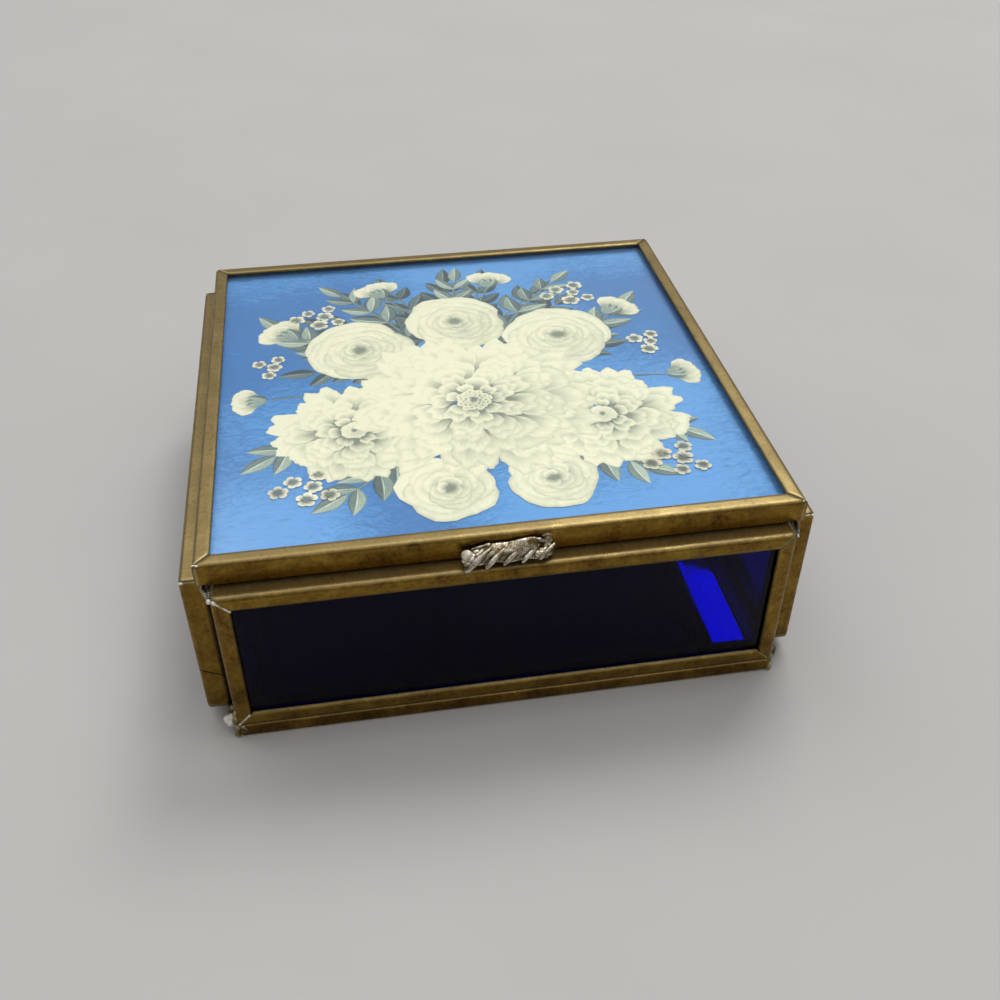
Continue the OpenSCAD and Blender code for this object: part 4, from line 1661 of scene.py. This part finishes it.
@dataclass
class GlazedPrint:
    """The printed sheet under the lid's pane: a spray of cream blossoms on watered blue."""

    low: Vector
    high: Vector
    paper_drop: float = 0.15
    ink_drop: float = 0.14
    ink_step: float = 0.00016
    gap_layers: int = 20

    def sheet(self, ground: bpy.types.Material) -> None:
        """Makes the paper itself, a little thinner than its solid to leave room for the inks.

        Args:
            ground: the finish of the watered ground.
        """
        top = self.high.z - self.paper_drop * MM
        low, high = self.low, self.high
        cells = 8
        xs = np.linspace(low.x, high.x, cells + 1)
        ys = np.linspace(low.y, high.y, cells + 1)
        verts = [(x, y, z) for z in (low.z, top) for y in ys for x in xs]
        n = cells + 1
        faces = []
        for r in range(cells):
            for c in range(cells):
                k = r * n + c
                faces.append((k, k + n, k + n + 1, k + 1))
                faces.append((k + n * n, k + n * n + 1, k + n * n + n + 1, k + n * n + n))
        for c in range(cells):
            for a, b in ((c, c + 1), (n * n - 1 - c, n * n - 2 - c),
                         ((cells - c) * n, (cells - c - 1) * n),
                         (c * n + cells, (c + 1) * n + cells)):
                faces.append((a, b, b + n * n, a + n * n))
        piece = object_from("print_sheet", verts, faces, smooth=False)
        settle(piece, Body.LID, ground, ("lid_print",))

    def foliage(self, florist: Florist) -> None:
        """Draws a dusky fan of leaves behind the upper blossoms, then paler sprays over it.

        Args:
            florist: draws them on the page.
        """
        for k in range(11):
            turn = math.radians(-92 + 18.4 * k)
            root = (-1 + 6 * math.sin(turn), 6 + 6 * math.cos(turn))
            florist.spray(root, turn, 21 + 3 * math.cos(turn), 0.12 * math.sin(3 * k), 4, 9.0,
                          shade=-0.3)
        for root, heading, length, bend, pairs, size in (
            ((-14, 4), -1.0, 27, 0.3, 5, 9.5), ((-8, 12), -0.4, 26, -0.3, 4, 8.5),
            ((8, 12), 0.45, 26, 0.3, 4, 8.5), ((15, 4), 1.05, 26, -0.35, 4, 9.5),
            ((-20, -14), -1.75, 17, -0.4, 3, 9.0), ((20, -16), 1.8, 16, 0.45, 3, 9.0),
            ((-14, -22), -2.6, 15, 0.4, 3, 9.0), ((15, -23), 2.55, 14, -0.4, 3, 9.0),
            ((0, 14), 0.05, 23, 0.1, 4, 8.0),
        ):
            florist.spray(root, heading, length, bend, pairs, size)

    def blossoms(self, florist: Florist) -> None:
        """Draws the buds on their stems, then the flowers, undermost first.

        Args:
            florist: draws them on the page.
        """
        for at, heading, size in (((-31, 18), -0.8, 8.0), ((31, 18), 0.8, 7.5),
                                  ((-37, -3), -1.5, 6.5), ((37, -6), 1.5, 6.5),
                                  ((9, 33), 0.25, 7.0), ((-13, 32), -0.35, 7.0)):
            florist.stem([(0, 5), (at[0] * 0.6, at[1] * 0.75), at], 0.5)
            florist.bud(at, heading, size)
        florist.rose((-19, 11), 12.0, 19, -0.6)
        florist.rose((19, 11), 12.0, 19, 0.7)
        florist.rose((0, 19), 11.5, 18, 0.2)
        florist.bloom((-22, -15), 15.0, 8, 9, 0.03)
        florist.bloom((22, -17), 15.5, 8, 9, 0.03)
        florist.rose((-8, -33), 9.5, 15, 2.8)
        florist.rose((10, -33), 9.0, 15, -2.6)
        florist.bloom((0, -9), 23.0, 11, 11, 0.035)

    def starflower_places(self) -> list[Place]:
        """Gathers the starflowers in six loose clusters round the spray.

        Returns:
            Their middles, in millimetres.
        """
        cluster_turn = 2.4
        places: list[Place] = []
        for cx, cy, reach, count in ((-27, 26, 5, 6), (25, 28, 5, 6), (-37, 8, 3.5, 4),
                                     (36, 6, 3.5, 4), (-31, -30, 5, 6), (31, -32, 5, 6)):
            for k in range(count):
                r = reach * math.sqrt((k + 0.5) / count)
                places.append((cx + r * math.cos(cluster_turn * k),
                               cy + r * math.sin(cluster_turn * k)))
        return places

    def draw(self, petals: bpy.types.Material, leaves: bpy.types.Material) -> None:
        """Draws the spray over the paper.

        Args:
            petals: the cream ink.
            leaves: the grey-green ink.
        """
        base = self.high.z / MM - self.ink_drop
        page = Drawing(base, self.ink_step)
        florist = Florist(page, random.Random(21))
        self.foliage(florist)
        self.blossoms(florist)
        for ink, piece in page.meshes("print_spray").items():
            settle(piece, Body.LID, petals if ink is Ink.PETAL else leaves)
        top = base + (page.level + self.gap_layers) * page.step_z
        small = StarflowerScatter().scatter("print_starflowers", self.starflower_places(), top,
                                            petals)
        settle(small, Body.LID, None)
        LOG.info("print: %d layers, top at %.3f mm of %.3f", page.level, top, self.high.z / MM)


# ---------------------------------------------------------------- the box


@dataclass
class Casket:
    """The whole box: dresses the CAD nodes and adds the sculpted and printed pieces."""

    wall_sides: tuple[str, ...] = ("front", "back", "left", "right")
    nick_mm: float = -13.58
    nick_shift: float = 0.524

    def brass(self, prefix: str, along: Along, **changes: Any) -> bpy.types.Material:
        """One brass finish for the lengths that run one way."""
        name = f"aged_drawn_brass_{prefix}_{along.name.lower()}"
        return DrawnBrass(name, along, **changes).make()

    def dress_walls(self) -> None:
        """Dresses the wall panes and their sixteen lengths."""
        pane = SheetGlass("cobalt_rolled_glass", "#1102b0", "#0e029a", mirroring=0.03).make()
        for side in self.wall_sides:
            flat = Along.X if side in ("front", "back") else Along.Y
            ends = ("left", "right") if flat is Along.X else ("front", "back")
            low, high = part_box(f"{side}_channel_top")
            foot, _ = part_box(f"{side}_channel_bottom")
            reach = max(high[flat.value], -low[flat.value]) / MM
            middle = (foot[2] + high[2]) / 2 / MM
            mitre = Mitre(flat, Along.Z, middle, reach - (high[2] / MM - middle))
            shift = 0.031 * (self.wall_sides.index(side) + 1)
            level = self.brass(f"{side}_wall", flat, mitre=mitre, shift=shift)
            # painted shade: the side walls' uprights are darkened in the notch beside the front and
            # back walls
            crevice = None if flat is Along.X else -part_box("front_channel_top")[0][0] / MM
            upright = self.brass(f"{side}_wall", Along.Z, mitre=mitre, shift=shift + 0.4,
                                 crevice=crevice)
            dress(f"{side}_glass", pane)
            for part in ("top", "bottom"):
                dress(f"{side}_channel_{part}", level)
            for part in ends:
                dress(f"{side}_channel_{part}", upright)
            if side == "left":
                nicked = self.brass("left_wall_nicked", Along.Z, mitre=mitre,
                                    shift=self.nick_shift, crevice=crevice, cut=self.nick_mm)
                dress("left_channel_front", nicked)

    def dress_flat_frame(self, prefix: str, **changes: Any) -> None:
        """Dresses the four lengths of the base or the lid.

        Args:
            prefix: what the nodes' names start with.
            **changes: what differs from the usual brass.
        """
        low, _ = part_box(f"{prefix}_channel_front")
        side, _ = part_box(f"{prefix}_channel_left")
        mitre = Mitre(Along.X, Along.Y, 0.0, (-side[0] + low[1]) / MM)
        for part, along in (("front", Along.X), ("back", Along.X), ("left", Along.Y),
                            ("right", Along.Y)):
            shift = changes.get("shift", 0.07) + 0.05 * len(part)
            metal = self.brass(f"{prefix}_{part}", along, mitre=mitre,
                               **{**changes, "shift": shift})
            dress(f"{prefix}_channel_{part}", metal)

    def dress_base(self) -> None:
        """Dresses the mirror and its four lengths, whose brass is painted darker, as painted shade.
        """
        dress("base_mirror", SilveredMirror("silvered_mirror_glass").make())
        # painted shade: darker clean and tarnish tones for the lengths along the floor
        self.dress_flat_frame("base", clean="#86672a", tarnish="#5a4118", bend_mm=0.5)

    def dress_lid(self) -> None:
        """Dresses the lid's pane, its lining and its four lengths."""
        dress("lid_glass", SheetGlass("clear_drawn_glass", "#f7faf7", "#eef3f0", ripple=0.008,
              smear=0.03).make())
        dress("lid_backing", LiningCard("dark_grey_pulp_card").make())
        self.dress_flat_frame("lid", shift=0.21)

    def dress_hinge(self) -> None:
        """Dresses the hinge tube and its rod."""
        dress("hinge_tube", self.brass("tube", Along.X, gloss=0.24))
        dress("hinge_rod", self.brass("rod", Along.X, clean="#a98a45", gloss=0.2))

    def solder_work(self) -> SolderWork:
        """Takes the solder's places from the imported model.

        Returns:
            The work, with its sizes set.
        """
        _, wall_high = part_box("front_channel_top")
        side_low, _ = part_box("left_channel_front")
        lid_low, lid_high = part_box("lid_channel_left")
        front_low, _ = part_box("lid_channel_front")
        tube_low, tube_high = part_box("hinge_tube")
        _, rod_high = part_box("hinge_rod")
        _, base_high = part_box("base_channel_front")
        return SolderWork(
            corner_x=wall_high[0] / MM + 0.05, corner_y=-side_low[1] / MM,
            wall_z=base_high[2] / MM, wall_top=wall_high[2] / MM,
            lid_half_x=-lid_low[0] / MM, lid_half_y=-front_low[1] / MM,
            lid_mid_z=(lid_low[2] + lid_high[2]) / 2 / MM,
            hinge_y=(tube_low[1] + tube_high[1]) / 2 / MM,
            hinge_z=(tube_low[2] + tube_high[2]) / 2 / MM,
            leg_x=rod_high[0] / MM - 0.8,
        )

    def add_solder(self) -> None:
        """Runs the solder and sculpts the thumb lift."""
        solder = SoftSolder("soft_solder_as_run").make()
        plated = SoftSolder("tinned_twisted_strip", bright="#ddd6c6", dull="#a39883",
                            flux="#605131", gloss=0.22, drowned=0.26).make()
        stained = SoftSolder("flux_stained_solder", bright="#c2b798", dull="#948560",
                             flux="#5d4c24", gloss=0.28).make()
        # near-white solder: painted highlights for the glints and the mitre seams
        bright = SoftSolder("near_white_glint_solder", bright="#fffdf8", dull="#ece6d6",
                            flux="#b3a47c", gloss=0.3, drowned=0.1, metal=0.4).make()
        wall_low, wall_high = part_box("front_channel_top")
        lid_low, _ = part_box("lid_channel_front")
        work = self.solder_work()
        work.corners(solder)
        work.stains(stained)
        work.seams(stained)
        work.mitres(wall_low[1] / MM, work.wall_z, bright)
        work.glints(bright)
        work.base(solder)
        work.lid_corners(stained)
        work.hinge(solder)
        ThumbLift(face_y=lid_low[1] / MM, wall_top=wall_high[2] / MM).build(plated, stained)

    def add_print(self) -> None:
        """Lays the print under the lid's pane."""
        low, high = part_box("lid_print")
        sheet = GlazedPrint(Vector(low), Vector(high))
        sheet.sheet(WateredPaper("printed_watered_paper").make())
        sheet.draw(
            PrintedInk("cream_petal_ink", Ink.PETAL, "#84887c", "#cfcab4", "#f3ead2").make(),
            PrintedInk("grey_green_leaf_ink", Ink.LEAF, "#33434f", "#82948f", "#d9decd").make(),
        )

    def build(self) -> None:
        """Dresses and builds everything in order."""
        for stage in (self.dress_walls, self.dress_base, self.dress_lid, self.dress_hinge,
                      self.add_solder, self.add_print):
            LOG.info("%s", stage.__name__)
            stage()


# ---------------------------------------------------------------- the studio


@dataclass
class Studio:
    """Pale floor, soft lights and the camera. Distances are in metres."""

    eye_mm: Point = (-22.57, -173.62, 144.5)
    pitch: float = 38.031
    heading: float = 9.441
    roll: float = 0.061
    focal_px: float = 1094.33
    centre_px: float = 485.0
    frame_px: float = 1000.0
    film: float = 36.0
    light_distance: float = 3.0
    middle: Point = (0.0, 0.0, 0.02)
    floor_half: float = 6.0
    glow_bearing: float = -34.0
    glow_height: float = 55.0
    glow_spread: float = 31.0
    sky_glow: Pair = (0.27, 2.0)

    def camera(self) -> None:
        """Stands the camera where the photograph's stood, with the same lens."""
        pitch, yaw, roll = (math.radians(a) for a in (self.pitch, self.heading, self.roll))
        ahead = Vector((math.sin(yaw) * math.cos(pitch), math.cos(yaw) * math.cos(pitch),
                        -math.sin(pitch)))
        right = Vector((math.cos(yaw), -math.sin(yaw), 0.0))
        up = right.cross(ahead)
        right, up = (right * math.cos(roll) + up * math.sin(roll),
                     up * math.cos(roll) - right * math.sin(roll))
        data = bpy.data.cameras.new("camera")
        data.sensor_width = self.film
        data.lens = self.film * self.focal_px / self.frame_px
        data.shift_y = (self.centre_px - self.frame_px / 2) / self.frame_px
        data.clip_start, data.clip_end = 0.01, 20.0
        eye = bpy.data.objects.new("camera", data)
        turn = Matrix((right, up, -ahead)).transposed().to_4x4()
        eye.matrix_world = Matrix.Translation(Vector(self.eye_mm) * MM) @ turn
        bpy.context.scene.collection.objects.link(eye)
        bpy.context.scene.camera = eye

    def lamp(self, name: str, at: Point, aim: Point, size: Pair, power: float,
             colour: str) -> None:
        """Hangs one soft light.

        Args:
            name: its name.
            at: where it hangs.
            aim: the point that it faces.
            size: its width and height.
            power: its power in watts.
            colour: its colour.
        """
        data = bpy.data.lights.new(name, "AREA")
        data.shape = "RECTANGLE"
        data.size, data.size_y = size
        data.energy = power
        data.color = linear(colour)[:3]
        lamp = bpy.data.objects.new(name, data)
        lamp.location = at
        lamp.rotation_euler = (Vector(aim) - Vector(at)).to_track_quat("-Z", "Y").to_euler()
        bpy.context.scene.collection.objects.link(lamp)

    def card(self, name: str, bearings: Pair, heights: Pair, glow: float,
             colour: str = WHITE) -> None:
        """Hangs a soft light by the part of the sky that it fills, as seen from the box.

        Args:
            name: its name.
            bearings: where it begins and ends, in degrees from +Y towards +X.
            heights: its lower and upper edge, in degrees above the floor.
            glow: its radiance, in watts a square metre and steradian.
            colour: its colour.
        """
        away = self.light_distance
        b, h = (math.radians(sum(pair) / 2) for pair in (bearings, heights))
        at = (away * math.cos(h) * math.sin(b), away * math.cos(h) * math.cos(b),
              away * math.sin(h))
        wide = 2 * away * math.cos(h) * math.tan(math.radians(bearings[1] - bearings[0]) / 2)
        tall = 2 * away * math.tan(math.radians(heights[1] - heights[0]) / 2)
        self.lamp(name, at, self.middle, (wide, tall), glow * math.pi * wide * tall, colour)

    def floor(self) -> None:
        """Lays the floor."""
        half = self.floor_half
        floor = object_from("floor", [(-half, -half, 0.0), (half, -half, 0.0), (half, half, 0.0),
                            (-half, half, 0.0)], [(0, 1, 2, 3)], smooth=False)
        floor.data.materials.append(PaleFloor("matte_pale_floor").make())

    def sky(self) -> None:
        """Surrounds the box with a pale sky and a soft glow high at the back left."""
        world = bpy.data.worlds.new("studio")
        world.use_nodes = True
        tree = world.node_tree
        tree.nodes.clear()
        way = add(tree, "ShaderNodeTexCoord")
        b, h = math.radians(self.glow_bearing), math.radians(self.glow_height)
        aim = (math.cos(h) * math.sin(b), math.cos(h) * math.cos(b), math.sin(h))
        near = add(tree, "ShaderNodeVectorMath", {0: way.outputs["Generated"], 1: aim},
                   operation="DOT_PRODUCT")
        # it fades without an edge
        glow = add(tree, "ShaderNodeMapRange", {"Value": near.outputs["Value"],
                   "From Min": math.cos(math.radians(self.glow_spread)), "From Max": 1.0,
                   "To Min": self.sky_glow[0], "To Max": self.sky_glow[1]},
                   interpolation_type="SMOOTHSTEP")
        sky = add(tree, "ShaderNodeBackground", {"Color": linear("#f0f0f0"),
                  "Strength": glow.outputs[0]})
        add(tree, "ShaderNodeOutputWorld", {"Surface": sky.outputs[0]})
        bpy.context.scene.world = world
        bpy.context.scene.view_settings.view_transform = "Standard"

    def build(self) -> None:
        """Lays the floor, hangs the lights, sets the sky and stands the camera."""
        self.floor()
        self.card("key", (12.0, 49.0), (41.8, 66.0), 6.6)
        self.card("front", (138.0, 188.0), (31.0, 58.0), 0.7)
        self.card("overhead", (-170.0, -70.0), (66.0, 88.0), 0.8)
        self.card("edge", (62.0, 118.0), (66.0, 85.0), 4.5)
        self.sky()
        self.camera()


def main() -> None:
    """Builds the box and the studio."""
    logging.basicConfig(level=logging.INFO, format="%(message)s")
    Casket().build()
    Studio().build()


if __name__ == "__main__":
    main()
